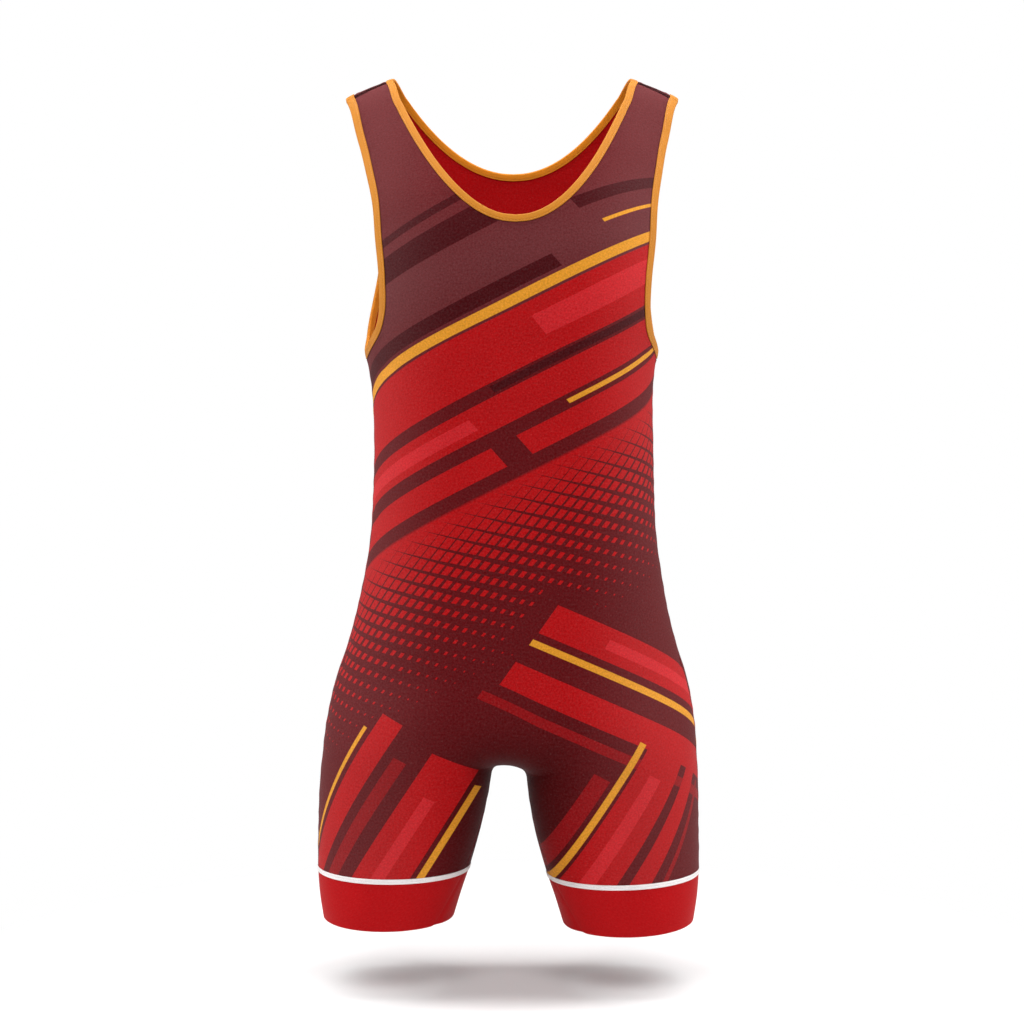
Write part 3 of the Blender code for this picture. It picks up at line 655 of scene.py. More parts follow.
def leg_tube(name, side, section, material, inside=None, groove=0.0):
    """A closed ring round a leg. section is a closed line of (height, out) points, from the
    outside's top down, and the count of its points that face out. A groove is the band's own
    seam, which lifts the hem a little."""
    points, outward = section
    rings, cloth = [], []
    for height, out in points:
        spots = leg_ring_places(height)
        here = form(spots[:, 0], spots[:, 1])
        level = np.full(len(spots), out)
        if groove:
            down = np.clip((LEG_SEAM - height) / (LEG_SEAM - HEM), 0.0, 1.0)
            seam_angle = inseam_angle(LEG_SEAM, False) + BAND_SEAM_LEAN * down
            off = np.linalg.norm(here - form(seam_angle, height), axis=-1)
            behind = np.arange(len(spots)) > RING_COLUMNS
            inward = (spots[:, 0] < seam_angle) | behind
            lift = HEM_LIFT * down**3 * ridge(off, 0.0, np.where(inward, LIFT_INWARD, LIFT_FORWARD))
            spots[:, 1] += np.where(behind, -lift, lift)
            if out > -WALL / 2:
                level += seam_dip(off, groove, GROOVE_WIDTH)
                level += seam_dip(off, HOLLOW_SHARE * groove, HOLLOW_WIDTH)
        rings.append(place(spots[:, 0], spots[:, 1], level, side))
        length = lengths_along(here)
        cloth.append(np.stack([length, np.full(len(spots), height), np.full(len(spots), 0.0)], -1))
    ids = np.arange(len(points) * 2 * RING_COLUMNS).reshape(len(points), -1)
    faces = grid_faces(ids, close_rows=True, close_columns=True)
    if side == 1:
        faces = faces[:, ::-1]
    per_row = 2 * RING_COLUMNS
    kinds = np.repeat(np.arange(len(points)) >= outward, per_row).astype(int)
    materials = [material, inside] if inside else [material]
    return new_mesh(name, np.concatenate(rings), faces.tolist(), materials,
                    kinds if inside else None, np.concatenate(cloth))


def band_section():
    """A turned-up band: flat outside, rolled lower edge, and a fold line where the hem ends."""
    top, thick, radius = LEG_SEAM - SEAM_GAP, 0.0018, 0.0009
    low = HEM + 0.0020
    outside = [(top, -0.0006), (top - 0.0006, -0.0001), (top - 0.0016, 0.0)]
    outside += [(z, 0.0) for z in np.linspace(top - 0.004, HEM + 0.0034, 12)]
    outside += [(low, 0.0)]
    turns = np.radians(np.arange(15.0, 180.0, 25.0))
    roll = [(HEM + radius - radius * math.sin(a), -radius + radius * math.cos(a)) for a in turns]
    roll_facing_out = 4
    inside = [(z, -thick) for z in np.linspace(low, top - 0.0016, 12)]
    inside += [(top - 0.0004, -thick + 0.0004)]
    return outside + roll + inside, len(outside) + roll_facing_out


def stripe_section():
    """A flat tape with rounded edges and a soft groove along its middle."""
    half, low, thick = 0.00250, 0.0001, 0.00062
    points = []
    for t in np.linspace(1.0, -1.0, 15):
        rise = 0.15 + 0.85 * (1 - abs(t) ** 6) ** 0.5
        groove = 0.00045 * ridge(t, 0.0, 0.16)
        points.append((LEG_SEAM + half * t, low + thick * rise - groove))
    points += [(LEG_SEAM + half * t, low) for t in (-0.9, 0.0, 0.9)]
    return points, len(points)


# ---------------- bindings
BINDING_HALF = WALL / 2 + 0.00035
BINDING_FULL = BINDING_HALF + 0.0007
STITCH_LINE = 0.80  # across the binding, from its fold (0) to its edge (1)
FOLD_PLACES = np.radians(np.linspace(75, -75, 11))
FLAT_PLACES = (0.22, 0.34, 0.46, 0.58, 0.68, 0.74, 0.80, 0.86, 0.92, 0.97)
FOLD_MIDDLE = len(FLAT_PLACES) + 2 + len(FOLD_PLACES) // 2  # the section's point on the fold


def binding_section():
    """(across, out) round the folded tape: 0 is the fold and 1 the edge on the cloth."""
    fold = [(0.2 * (1 - math.cos(a)), BINDING_FULL * math.sin(a)) for a in FOLD_PLACES]
    flat = []
    for t in FLAT_PLACES:
        swell = 0.00012 * math.sin(math.pi * (t - 0.2) / 0.8) - 0.00030 * ridge(t, STITCH_LINE, 0.05)
        flat.append((t, BINDING_FULL + swell))
    edge = [(1.0, BINDING_FULL - 0.00022), (1.0, BINDING_HALF)]
    under = [(0.6, BINDING_HALF), (0.26, BINDING_HALF), (0.19, 0.5 * BINDING_HALF)]
    one_side = flat + edge
    section = one_side[::-1] + fold + [(t, -out) for t, out in one_side]
    section += [(t, -out) for t, out in under] + [(0.17, 0.0)] + [(t, out) for t, out in under[::-1]]
    return section


def strip_run(first, second, sides):
    """Joins two (fold, edge) pairs of lines where both start: the first is read from its end.
    Gives the fold, the edge and the side of each row."""
    fold, edge = (np.concatenate([a[:0:-1], b]) for a, b in zip(first, second))
    return fold, edge, np.repeat(sides, (len(first[0]) - 1, len(second[0])))


def clear_ends(line, first_back, last_back):
    """The line with both ends half a gap away from the shoulder seam."""
    line = line.copy()
    line[0, 1] += SEAM_GAP / 2 * (1 if first_back else -1)
    line[-1, 1] += SEAM_GAP / 2 * (1 if last_back else -1)
    return line


def binding(name, strip, materials):
    fold, edge, side = strip
    section = binding_section()
    across = np.array([a for a, _ in section])[None, :, None]
    out = np.array([o for _, o in section])[None, :]
    spots = fold[:, None] + across * (edge - fold)[:, None]
    points = place(spots[..., 0], spots[..., 1], -WALL / 2 + out, side[:, None])
    length = lengths_along(points[:, FOLD_MIDDLE])
    cloth = np.stack(np.broadcast_arrays(length[:, None], across[..., 0] * ARM_BINDING, 0.0), -1)
    ids = np.arange(points.shape[0] * points.shape[1]).reshape(points.shape[:2])
    kinds = np.concatenate([np.tile(out[0] < 0, len(points) - 1), [False, False]])
    return new_mesh(name, points.reshape(-1, 3), tube_faces(ids), materials, kinds, cloth.reshape(-1, 3))


UPWARD, AHEAD = 0.002, 0.0008  # steps that give the directions out of the cloth and along it


def along_strip(strip, across, out, pitch, inset):
    """Evenly spaced places along a binding: points, directions along it and directions out."""
    outward = math.copysign(1.0, out)
    fold, edge, side = strip
    spots = fold + across * (edge - fold)
    out -= WALL / 2
    base = place(spots[:, 0], spots[:, 1], out, side)
    up = place(spots[:, 0], spots[:, 1], out + UPWARD * outward, side) - base
    lengths = lengths_along(base)
    at = np.arange(inset, lengths[-1] - inset, pitch)
    point = read_along(base, lengths, at)
    ahead = read_along(base, lengths, at + AHEAD)
    return point, unit(ahead - point), unit(read_along(up, lengths, at))


def stitches(name, rows, material, length, radius, lift):
    """Short threads laid end to end: each is a low rounded bead with its ends sunk in the cloth."""
    shape, count = [], 6
    places = (-1.0, -0.72, 0.0, 0.72, 1.0)
    for t in places:
        size = math.sqrt(max(0.06, 1 - t * t * 0.94))
        for k in range(count):
            turn = 2 * math.pi * k / count
            shape.append((t / 2, size * math.cos(turn), size * math.sin(turn) - 0.9 * abs(t) ** 3))
    shape = np.array(shape)
    table = np.arange(len(shape)).reshape(len(places), count)
    points, faces, total = [], [], 0
    for point, along, up in rows:
        across = np.cross(up, along)
        bead = (
            point[:, None] + along[:, None] * (shape[None, :, :1] * length)
            + across[:, None] * (shape[None, :, 1:2] * radius)
            + up[:, None] * (shape[None, :, 2:] * radius + lift)
        )
        for one_bead in bead:
            points.append(one_bead)
            faces += tube_faces(table + total)
            total += len(shape)
    return new_mesh(name, np.concatenate(points), faces, [material])


# ---------------- seam threads
SEAM_ENDS = 0.002  # of a seam, that its threads leave bare at each end
ROUND = 5  # points round a thread


def thread_tube(path, lift, thick, first):
    """Points and faces of a thread along a path. first is the number of its first point."""
    along = unit(np.gradient(path, axis=0))
    out = unit(lift - (lift * along).sum(-1, keepdims=True) * along)
    sideways = np.cross(out, along)
    turns = 2 * math.pi * np.arange(ROUND) / ROUND
    ring = [path + thick * (math.cos(turn) * sideways + 0.8 * math.sin(turn) * out) for turn in turns]
    table = first + np.arange(len(path) * ROUND).reshape(len(path), ROUND)
    return np.stack(ring, 1).reshape(-1, 3), tube_faces(table)


def cover_seam(name, centre, across, up, width, pitch, radius, material):
    """A flat cover stitch over a seam: a thread that zigzags across, and a row along each edge.

    centre, across and up are rows of points and unit directions along the seam."""
    lengths = lengths_along(centre)
    steps = int(lengths[-1] / pitch)

    def sampled(count):
        at = np.linspace(SEAM_ENDS, lengths[-1] - SEAM_ENDS, count + 1)
        return [read_along(rows, lengths, at) for rows in (centre, across, up)]

    base, way, lift = sampled(2 * steps)
    swing = np.where(np.arange(len(base)) % 2, 1.0, -1.0)[:, None]
    threads = [(base + way * swing * width / 2 + lift * 0.4 * radius, lift, radius)]
    base, way, lift = sampled(6 * steps)
    wave = (0.5 + 0.5 * np.cos(2 * np.pi * np.arange(len(base)) / 3))[:, None]
    for edge in (-1, 1):
        path = base + way * edge * width / 2 + lift * radius * (0.2 + 0.9 * wave)
        threads.append((path, lift, radius * 0.9))
    points, faces, total = [], [], 0
    for thread_run in threads:
        tube_points, tube = thread_tube(*thread_run, total)
        points.append(tube_points)
        faces += tube
        total += len(tube_points)
    return new_mesh(name, np.concatenate(points), faces, [material])


# ---------------- materials
class Nodes:
    """A short way to write a node tree."""

    def __init__(self, name):
        self.material = bpy.data.materials.new(name)
        self.material.use_nodes = True
        self.tree = self.material.node_tree
        self.surface = self.tree.nodes["Principled BSDF"]

    def add(self, kind, inputs=(), **settings):
        node = self.tree.nodes.new(kind)
        for key, value in settings.items():
            setattr(node, key, value)
        for key, value in dict(inputs).items():
            if isinstance(value, bpy.types.NodeSocket):
                self.tree.links.new(value, node.inputs[key])
            else:
                node.inputs[key].default_value = value
        return node

    def maths(self, operation, *values, clamp=False):
        node = self.add("ShaderNodeMath", dict(enumerate(values)), operation=operation, use_clamp=clamp)
        return node.outputs[0]

    def times(self, value, factor, plus=None, clamp=False):
        """value * factor, and something added to that if plus is given."""
        if plus is None:
            return self.maths("MULTIPLY", value, factor, clamp=clamp)
        return self.maths("MULTIPLY_ADD", value, factor, plus, clamp=clamp)

    def dot(self, vector, weights):
        node = self.add("ShaderNodeVectorMath", {0: vector, 1: weights}, operation="DOT_PRODUCT")
        return node.outputs["Value"]

    def mix(self, share, first, second):
        node = self.add("ShaderNodeMix", data_type="RGBA")
        for slot, value in ((0, share), (6, first), (7, second)):
            if isinstance(value, bpy.types.NodeSocket):
                self.tree.links.new(value, node.inputs[slot])
            else:
                node.inputs[slot].default_value = value if slot == 0 else (*value, 1.0)[:4]
        return node.outputs[2]

    def noise(self, vector, scale, detail=2.0, roughness=0.5):
        inputs = {"Vector": vector, "Scale": scale, "Detail": detail, "Roughness": roughness}
        return self.add("ShaderNodeTexNoise", inputs).outputs[0]

    def across_along(self, vector):
        split = self.add("ShaderNodeSeparateXYZ", {0: vector})
        return split.outputs[0], split.outputs[1]

    def step(self, value, start, end, last=1.0, first=0.0):
        """A smooth step from first, where value is start, to last, where it is end."""
        inputs = {0: value, 1: start, 2: end, 3: first, 4: last}
        return self.add("ShaderNodeMapRange", inputs, interpolation_type="SMOOTHSTEP").outputs[0]

    def varied(self, base, noise, amount):
        """base, moved up and down by a noise of 0 to 1."""
        return self.times(self.maths("SUBTRACT", noise, 0.5), amount, base)

    def scaled(self, colour, tone):
        return self.add("ShaderNodeVectorMath", {0: colour, "Scale": tone}, operation="SCALE").outputs[0]

    def dress(self, colour, rough, relief, strength, distance):
        """Gives the surface its colour, its roughness and a bump."""
        bump = self.add("ShaderNodeBump", {"Height": relief, "Strength": strength, "Distance": distance})
        for name, socket in (("Base Color", colour), ("Normal", bump.outputs[0]), ("Roughness", rough)):
            self.tree.links.new(socket, self.surface.inputs[name])


def set_inputs(node, values):
    for key, value in values.items():
        node.inputs[key].default_value = value


RED = (0.370, 0.0072, 0.0084)
BRIGHT_RED = (0.480, 0.0170, 0.0210)
DEEP_RED = (0.230, 0.0070, 0.0085)
MAROON = (0.1000, 0.0070, 0.0085)
# painted light: a paler maroon that stands in for top light and sheen on the chest and straps
PAINTED_LIGHT_MAROON = (0.1180, 0.0245, 0.0270)
# painted shade: a darker maroon for the shade between the legs
PAINTED_SHADE_MAROON = (0.0520, 0.0036, 0.0042)
DARK = (0.0540, 0.0055, 0.0070)
GOLD = (0.620, 0.255, 0.0230)
INSIDE_RED = (0.375, 0.0050, 0.0062)
WHITE = (0.775, 0.735, 0.735)
LEAST = (0.002, 0.002, 0.002)  # no yarn is darker


def unit_edges(edges):
    return [tuple(np.array(edge) / math.hypot(*edge[:2])) for edge in edges]


def band(slope, low, high, left=None, right=None):
    """A slanted bar: low and high are its edges' heights at the middle line, in mm. It may end at
    left and right across, measured along its middle."""
    lean = END_LEAN[slope]
    edges = [(-slope, 1.0, -low * MM), (slope, -1.0, high * MM)]
    for end, way in ((left, 1.0), (right, -1.0)):
        if end is not None:
            height = slope * end + (low + high) / 2
            edges.append((way, -way * lean, way * (lean * height - end) * MM))
    return unit_edges(edges)


SASH, RETURN, THIGH = 0.50, -0.42, 1.55
END_LEAN = {SASH: -0.9, RETURN: 0.7}
# The print, from the bottom layer up: colour, and slanted bars as band() takes them.
PRINT = (
    # upper chest and straps: quiet tone-on-tone bars
    (DARK, ((SASH, -142, -114, None, -24), (SASH, -102, -93, None, -48), (SASH, -166, -152, 56))),
    # the sash
    (RED, ((SASH, -292, -232), (SASH, -338, -306), (SASH, -378, -353, None, -14), (SASH, -378, -353, 10))),
    (BRIGHT_RED, ((SASH, -272, -247, 22), (SASH, -330, -316, None, -38))),
    (GOLD, ((SASH, -229, -218), (SASH, -348, -343, 52), (SASH, -190, -186, 84))),
    (DARK, ((SASH, -214, -198, None, 38), (SASH, -303, -295, -20))),
    # the wearer's left hip
    (MAROON, ((RETURN, -556, -478, 12),)),
    (RED, ((RETURN, -528, -494, 34), (RETURN, -592, -564, -4))),
    (BRIGHT_RED, ((RETURN, -517, -506, 92),)),
    (GOLD, ((RETURN, -543, -536, 18),)),
    (DEEP_RED, ((RETURN, -614, -604, -30),)),
)
# across of the bar's edges at THIGH_LEVEL, in mm, then its lowest and highest height
THIGH_LEVEL = -700.0
THIGH_BARS = (
    (RED, ((98, 152, -900, -556), (164, 186, -900, -566), (-104, -46, -900, -690), (-178, -150, -900, -678))),
    (BRIGHT_RED, ((116, 132, -900, -604), (-84, -70, -900, -736))),
    (DEEP_RED, ((60, 80, -900, -628), (-138, -122, -900, -712), (198, 204, -900, -580))),
    (GOLD, ((86, 94, -900, -578), (-40, -32, -900, -706), (-190, -185, -900, -700))),
)


def thigh_bar(left, right, low, high):
    """A steep bar between two heights, with ends that slant as the sash does."""
    base = THIGH_LEVEL * MM
    return unit_edges([
        (1.0, -1 / THIGH, base / THIGH - left * MM), (-1.0, 1 / THIGH, right * MM - base / THIGH),
        (SASH, 1.0, -low * MM), (-SASH, -1.0, high * MM),
    ])


def shape_mask(nodes, spot, shapes, soft=0.00025):
    """1 inside any of the shapes, each being all the places where every (a, b, c) edge is over 0."""
    best = None
    for edges in shapes:
        inside = None
        for edge in edges:
            value = nodes.dot(spot, edge)
            inside = value if inside is None else nodes.maths("MINIMUM", inside, value)
        best = inside if best is None else nodes.maths("MAXIMUM", best, inside)
    return nodes.times(best, 0.5 / soft, 0.5, clamp=True)


CELL = (0.0180, 0.0130)
CELLS_TOP, CELLS_BOTTOM = -0.392, -0.560
SMALLEST, GROWTH = 0.045, 0.47  # a lozenge's size as a share of its cell


def lozenges(nodes, spot):
    """Rows of lozenges that grow smaller from the top down."""
    across, along = nodes.across_along(spot)
    level = nodes.times(across, -SASH, along)
    reach = CELLS_TOP - CELLS_BOTTOM
    share = nodes.times(level, 1 / reach, -CELLS_BOTTOM / reach)
    p = nodes.maths("DIVIDE", across, CELL[0])
    q = nodes.maths("DIVIDE", level, CELL[1])
    first = nodes.maths("PINGPONG", nodes.maths("ADD", p, q), 0.5)
    second = nodes.maths("PINGPONG", nodes.maths("SUBTRACT", p, q), 0.5)
    # pingpong is 0 at a lozenge's middle, so the larger of the two is its edge distance
    size = nodes.times(nodes.maths("MINIMUM", share, 1.0), GROWTH, SMALLEST)
    inside = nodes.maths("SUBTRACT", size, nodes.maths("MAXIMUM", first, second))
    below = nodes.times(nodes.maths("SUBTRACT", CELLS_TOP, level), 300.0, clamp=True)
    above = nodes.maths("GREATER_THAN", share, 0.0)
    mask = nodes.times(inside, 28.0, 0.5, clamp=True)
    return nodes.times(nodes.times(mask, below), above)


WALE, COURSE = 0.00075, 0.00062  # width and height of a stitch


def knit(nodes, spot, colour, strength=0.16, speckle=0.34, painted_side_sheen=0.0):
    """Fine jersey over a colour: rows of small V stitches in the bump, and speckled yarn."""
    across, along = nodes.across_along(spot)
    column = nodes.maths("PINGPONG", nodes.maths("DIVIDE", across, WALE), 0.5)
    row = nodes.maths("ADD", nodes.maths("DIVIDE", along, COURSE), nodes.times(column, 1.1))
    loop = nodes.maths("SINE", nodes.times(row, 2 * math.pi))
    rib = nodes.maths("SINE", nodes.times(column, 2 * math.pi))
    height = nodes.times(loop, 0.5, nodes.times(rib, 0.8))
    grain = nodes.noise(spot, 560.0, 2.5, 0.75)
    # light and dark yarns, uneven and cloudy tone, and the stitches' own
    tone = nodes.varied(1.0, grain, 3.4 * speckle)
    tone = nodes.varied(tone, nodes.noise(spot, 240.0, 2.0, 0.6), 0.30 * speckle)
    tone = nodes.varied(tone, nodes.noise(spot, 26.0, 3.0, 0.55), 0.16)
    tone = nodes.times(loop, 0.05, tone)
    # a few pale and dark fibres, which tint every colour alike
    fibres_and_side_sheen = nodes.step(nodes.noise(spot, 380.0, 1.0, 0.5), 0.64, 0.74, 0.025 * speckle)
    fibres_and_side_sheen = nodes.varied(fibres_and_side_sheen, nodes.noise(spot, 470.0, 3.0, 0.70), 0.100 * speckle)
    if painted_side_sheen:
        # painted sheen: a pale haze added round the sides, where the side lights catch the cloth
        fibres_and_side_sheen = nodes.maths("ADD", fibres_and_side_sheen, nodes.step(nodes.maths("ABSOLUTE", across), 0.05, 0.14, painted_side_sheen))
    mixed = nodes.add("ShaderNodeVectorMath", {0: nodes.scaled(colour, tone), 1: fibres_and_side_sheen}, operation="ADD")
    mixed = nodes.add("ShaderNodeVectorMath", {0: mixed.outputs[0], 1: LEAST}, operation="MAXIMUM")
    relief = nodes.times(grain, 1.4, height)
    nodes.dress(mixed.outputs[0], nodes.varied(0.60, grain, 0.22), relief, strength, 0.00030)


def finish_cloth(nodes, sheen=0.03, sheen_roughness=0.38, specular=0.02, tint=(1.0, 0.86, 0.84)):
    set_inputs(nodes.surface, {"Sheen Weight": sheen, "Sheen Roughness": sheen_roughness,
                               "Sheen Tint": (*tint, 1.0), "Specular IOR Level": specular})
    return nodes.material


def cloth_spot(nodes):
    """The place on the flat cloth as (across, along, 1)."""
    node = nodes.add("ShaderNodeAttribute", attribute_name="cloth", attribute_type="GEOMETRY")
    return node.outputs["Vector"]


def solid_colour(nodes, colour):
    rgb = nodes.add("ShaderNodeRGB")
    rgb.outputs[0].default_value = (*colour, 1.0)
    return rgb.outputs[0]


def printed_cloth():
    nodes = Nodes("printed_jersey")
    spot = cloth_spot(nodes)
    # painted light: the maroon is paler over the chest, where the top light and sheen fall, and less so on
    # the straps
    height = nodes.dot(spot, (-0.25, 1.0, 0.0))
    share = nodes.step(height, -0.300, -0.170)
    less = nodes.step(height, -0.190, -0.090, 0.35, first=1.0)
    colour = nodes.mix(nodes.times(share, less), MAROON, PAINTED_LIGHT_MAROON)
    # painted shade: darker round the crotch and down the inner thighs, where shade falls between the legs
    away = nodes.maths("ABSOLUTE", nodes.across_along(spot)[0])
    crotch_shade = nodes.times(nodes.step(height, -0.590, -0.680, 0.80), nodes.step(away, 0.105, 0.020))
    colour = nodes.mix(crotch_shade, colour, PAINTED_SHADE_MAROON)
    colour = nodes.mix(lozenges(nodes, spot), colour, RED)
    for bar_edges, layers in ((band, PRINT), (thigh_bar, THIGH_BARS)):
        for ink, bars in layers:
            colour = nodes.mix(shape_mask(nodes, spot, [bar_edges(*bar) for bar in bars]), colour, ink)
    # painted sheen round the sides of the panels
    knit(nodes, spot, colour, painted_side_sheen=0.011)
    return finish_cloth(nodes)


def plain_cloth(name, colour, **more):
    nodes = Nodes(name)
    knit(nodes, cloth_spot(nodes), solid_colour(nodes, colour), **more)
    return finish_cloth(nodes)


def tape(name, colour, ribs=0.0011, sheen=0.18):
    """Woven elastic tape: fine ribs across it, a slight change of tone along it."""
    nodes = Nodes(name)
    spot = cloth_spot(nodes)
    along, across = nodes.across_along(spot)
    wave = nodes.maths("SINE", nodes.times(along, 2 * math.pi / ribs))
    weft = nodes.maths("SINE", nodes.times(across, 2 * math.pi / 0.0007))
    grain = nodes.noise(spot, 900.0, 2.0, 0.6)
    tone = nodes.times(wave, 0.05, 1.0)
    tone = nodes.varied(tone, grain, 0.45)
    tone = nodes.varied(tone, nodes.noise(spot, 60.0, 2.0, 0.5), 0.14)
    relief = nodes.times(wave, 0.8, nodes.times(weft, 0.35, grain))
    rough = nodes.times(grain, 0.20, 0.46)
    nodes.dress(nodes.scaled(solid_colour(nodes, colour), tone), rough, relief, 0.30, 0.00025)
    return finish_cloth(nodes, sheen, 0.4, 0.15, (1.0, 0.90, 0.75))


def thread(name, colour, sheen=0.12, specular=0.45):
    """Sewing thread: plied yarn, a little glossier than the cloth."""
    nodes = Nodes(name)
    spot = nodes.add("ShaderNodeTexCoord").outputs["Object"]
    grain = nodes.noise(spot, 2400.0, 2.0, 0.6)
    tone = nodes.times(grain, 0.5, 0.75)
    rough = nodes.times(grain, 0.2, 0.35)
    nodes.dress(nodes.scaled(solid_colour(nodes, colour), tone), rough, grain, 0.25, 0.0002)
    return finish_cloth(nodes, sheen, 0.4, specular)


PRINTED = printed_cloth()
INSIDE = plain_cloth("inside_jersey", INSIDE_RED, speckle=0.30)
BAND_CLOTH = plain_cloth("leg_band_jersey", (0.380, 0.0064, 0.0080), speckle=0.20, strength=0.12)
GOLD_TAPE = tape("gold_binding_tape", (0.465, 0.166, 0.0080), sheen=0.05)
# painted light: a brighter copy of the gold tape for the binding's inner faces, which stand in shade
GOLD_TAPE_PAINTED_LIGHT = tape("gold_binding_painted_light", (0.660, 0.215, 0.0070), sheen=0.05)
WHITE_TAPE = tape("white_tape", WHITE, ribs=0.0009)
GOLD_THREAD = thread("gold_thread", (0.54, 0.205, 0.016))
RED_THREAD = thread("maroon_thread", (0.15, 0.012, 0.015))
# painted shade: a near-black thread that stands in for the shadow along the shoulder seam's fold
PAINTED_SHADE_THREAD = thread("painted_shade_thread", (0.026, 0.002, 0.003), sheen=0.0, specular=0.08)

# ---------------- the pieces
front, back = Half(False), Half(True)


def keep(piece, slot, node=None):
    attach(piece, "root")
    if node:
        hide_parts(node)
    return piece


keep(panel("front_cloth", front, PRINTED, INSIDE), "front_cloth", "front_panel")
keep(panel("back_cloth", back, PRINTED, INSIDE), "back_cloth", "back_panel")

strips = {}
for key, half in (("neck_front", front), ("neck_back", back)):
    strips[key] = strip_run((half.neck, half.neck_in), (half.neck, half.neck_in), (-1, 1))
for side, word in SIDES:
    strips[f"armhole_{word}"] = strip_run((front.arm, front.arm_in), (back.arm, back.arm_in), (side, side))
# whether each end of a strip is behind the shoulder seam
ENDS = {"neck_front": (False, False), "neck_back": (True, True), "armhole_left": (False, True),
        "armhole_right": (False, True)}
STITCH_LEVELS = BINDING_FULL - 0.0003, -(BINDING_FULL - 0.0003)
for key, (fold, edge, side) in strips.items():
    strip = (clear_ends(fold, *ENDS[key]), clear_ends(edge, *ENDS[key]), side)
    opening, where = key.split("_")
    # the binding's inner faces take the brighter, painted-light copy of the tape
    piece = binding(f"{key}_binding", strip, [GOLD_TAPE, GOLD_TAPE_PAINTED_LIGHT])
    keep(piece, "binding", f"{opening}_binding_{where}")
    rows = [along_strip(strip, STITCH_LINE, level, pitch=0.0032, inset=0.0022) for level in STITCH_LEVELS]
    piece = stitches(f"{key}_stitches", rows, GOLD_THREAD, length=0.0026, radius=0.00032, lift=0.00010)
    keep(piece, "binding")

for side, word in SIDES:
    piece = leg_tube(f"leg_band_cloth_{word}", side, band_section(), BAND_CLOTH, INSIDE, groove=0.0006)
    keep(piece, "leg_band", f"leg_band_{word}")
    piece = leg_tube(f"leg_tape_{word}", side, stripe_section(), WHITE_TAPE)
    keep(piece, "leg_stripe", f"leg_stripe_{word}")


def seam_rows(angle, run, side, out):
    """Centre, across and up directions along a seam."""
    centre = place(angle, run, out, side)
    up = unit(place(angle, run, out + UPWARD, side) - centre)
    return centre, unit(np.cross(np.gradient(centre, axis=0), up)), up


side_runs = np.linspace(LEG_SEAM + 0.0045, UNDERARM - 0.010, 260)
inner_runs = np.linspace(LEG_SEAM + 0.0045, CROTCH - 0.004, 70)
shoulder_angles = np.linspace(NECK_AT_SHOULDER + 2.2, ARM_AT_SHOULDER - 2.8, 60)
# name, angle, run, level, width, pitch, thread's radius, thread
SEAMS = (
    ("side_seam", SIDE_SEAM, side_runs, -0.0004, 0.0042, 0.0034, 0.00026, RED_THREAD),
    ("inseam", inseam_angle(inner_runs, False), inner_runs, -0.0004, 0.0040, 0.0034, 0.00026, RED_THREAD),
    # the shoulder seam's thread is near black, a painted shade line along the fold
    ("shoulder_seam", shoulder_angles, SHOULDER_SEAM, 0.0001, 0.0044, 0.0026, 0.00042, PAINTED_SHADE_THREAD),
)
for side, word in SIDES:
    for name, angle, run, level, *sewing in SEAMS:
        keep(cover_seam(f"{name}_{word}", *seam_rows(angle, run, side, level), *sewing), "front_cloth")

# ---------------- floor, lights and camera
FLOOR = -0.895


def stage_piece(name, points, faces, material):
    piece = new_mesh(name, np.array(points, float), faces, [material])
    return piece


def floor_material():
    """Pale matt floor round the singlet that fades into plain white further out."""
    nodes = Nodes("pale_floor")
    set_inputs(nodes.surface, {"Base Color": (0.86, 0.86, 0.86, 1.0), "Roughness": 1.0,
                               "Specular IOR Level": 0.0})
    spot = nodes.add("ShaderNodeTexCoord").outputs["Object"]
    reach = nodes.add("ShaderNodeVectorMath", {0: spot, 1: (1.0, 1.0, 0.0)}, operation="MULTIPLY")
    reach = nodes.add("ShaderNodeVectorMath", {0: reach.outputs[0]}, operation="LENGTH").outputs["Value"]
    white = nodes.add("ShaderNodeEmission", {"Color": (1.0, 1.0, 1.0, 1.0), "Strength": 1.0}).outputs[0]
    shaders = {0: nodes.step(reach, 0.36, 0.62), 1: nodes.surface.outputs[0], 2: white}
    mixed = nodes.add("ShaderNodeMixShader", shaders)
    nodes.tree.links.new(mixed.outputs[0], nodes.tree.nodes["Material Output"].inputs["Surface"])
    return nodes.material


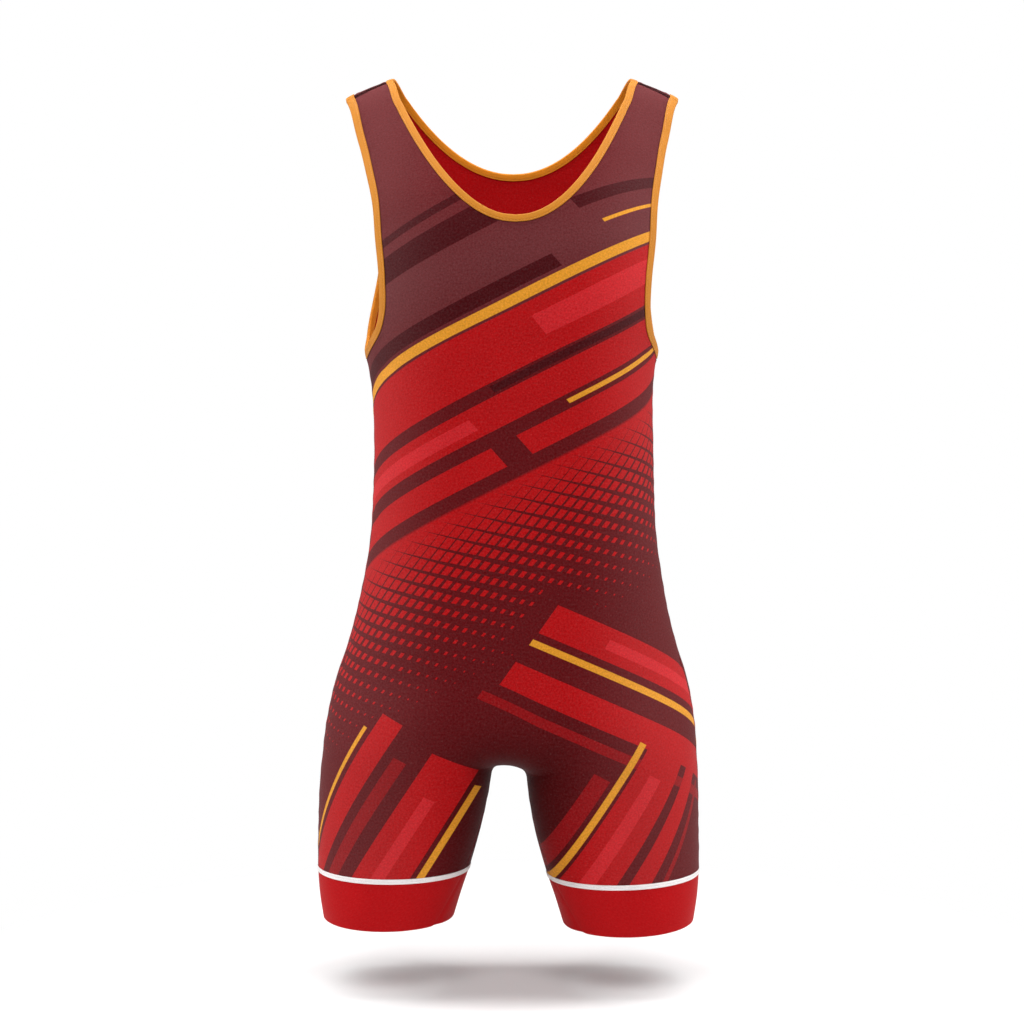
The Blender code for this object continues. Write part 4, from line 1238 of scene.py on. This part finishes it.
stage_piece("floor", [(-4, -4, FLOOR), (4, -4, FLOOR), (4, 4, FLOOR), (-4, 4, FLOOR)], [(0, 1, 2, 3)],
            floor_material())
white_nodes = Nodes("white_backdrop")
set_inputs(white_nodes.surface, {"Base Color": (0.0, 0.0, 0.0, 1.0), "Specular IOR Level": 0.0,
                                 "Emission Color": (1.0, 1.0, 1.0, 1.0), "Emission Strength": 1.0})
corners = [(x, y, z) for x in (-9, 9) for y in (-9, 9) for z in (-9, 9)]
walls = [(0, 1, 3, 2), (4, 6, 7, 5), (0, 4, 5, 1), (2, 3, 7, 6), (0, 2, 6, 4), (1, 5, 7, 3)]
backdrop = stage_piece("backdrop", corners, walls, white_nodes.material)
# the backdrop is only seen: the world and the lamps give all the light
backdrop.visible_diffuse = backdrop.visible_glossy = backdrop.visible_transmission = False
backdrop.visible_shadow = backdrop.visible_volume_scatter = False

world = bpy.data.worlds.new("studio")
bpy.context.scene.world = world
world.use_nodes = True
set_inputs(world.node_tree.nodes["Background"], {"Color": (1.0, 1.0, 1.0, 1.0), "Strength": 0.21})


# name, place, what it points at, size, power
LIGHTS = (
    ("top", (0.0, 0.0, 0.9), (0.0, 0.0, -0.6), (6.5, 0.9), 81.0),
    ("front", (0.0, -2.0, 1.3), (0.0, 0.0, -0.40), (2.6, 1.0), 46.0),
    ("left", (-1.8, 0.25, -0.1), (0.0, 0.0, -0.45), (0.5, 1.5), 12.0),
    ("right", (1.8, 0.25, -0.1), (0.0, 0.0, -0.45), (0.5, 1.5), 12.0),
)
for name, spot, target, size, power in LIGHTS:
    data = bpy.data.lights.new(name, "AREA")
    data.shape = "RECTANGLE"
    data.size, data.size_y = size
    data.energy = power
    light = bpy.data.objects.new(name, data)
    bpy.context.scene.collection.objects.link(light)
    light.location = spot
    light.rotation_euler = (Vector(target) - Vector(spot)).to_track_quat("-Z", "Y").to_euler()

camera_data = bpy.data.cameras.new("camera")
camera = bpy.data.objects.new("camera", camera_data)
bpy.context.scene.collection.objects.link(camera)
camera.location = (0.0, -1.75, -0.424)
camera.rotation_euler = (math.radians(90), 0.0, 0.0)
camera_data.lens = 61.52
camera_data.sensor_width = 36.0
bpy.context.scene.camera = camera
bpy.context.scene.view_settings.view_transform = "Standard"
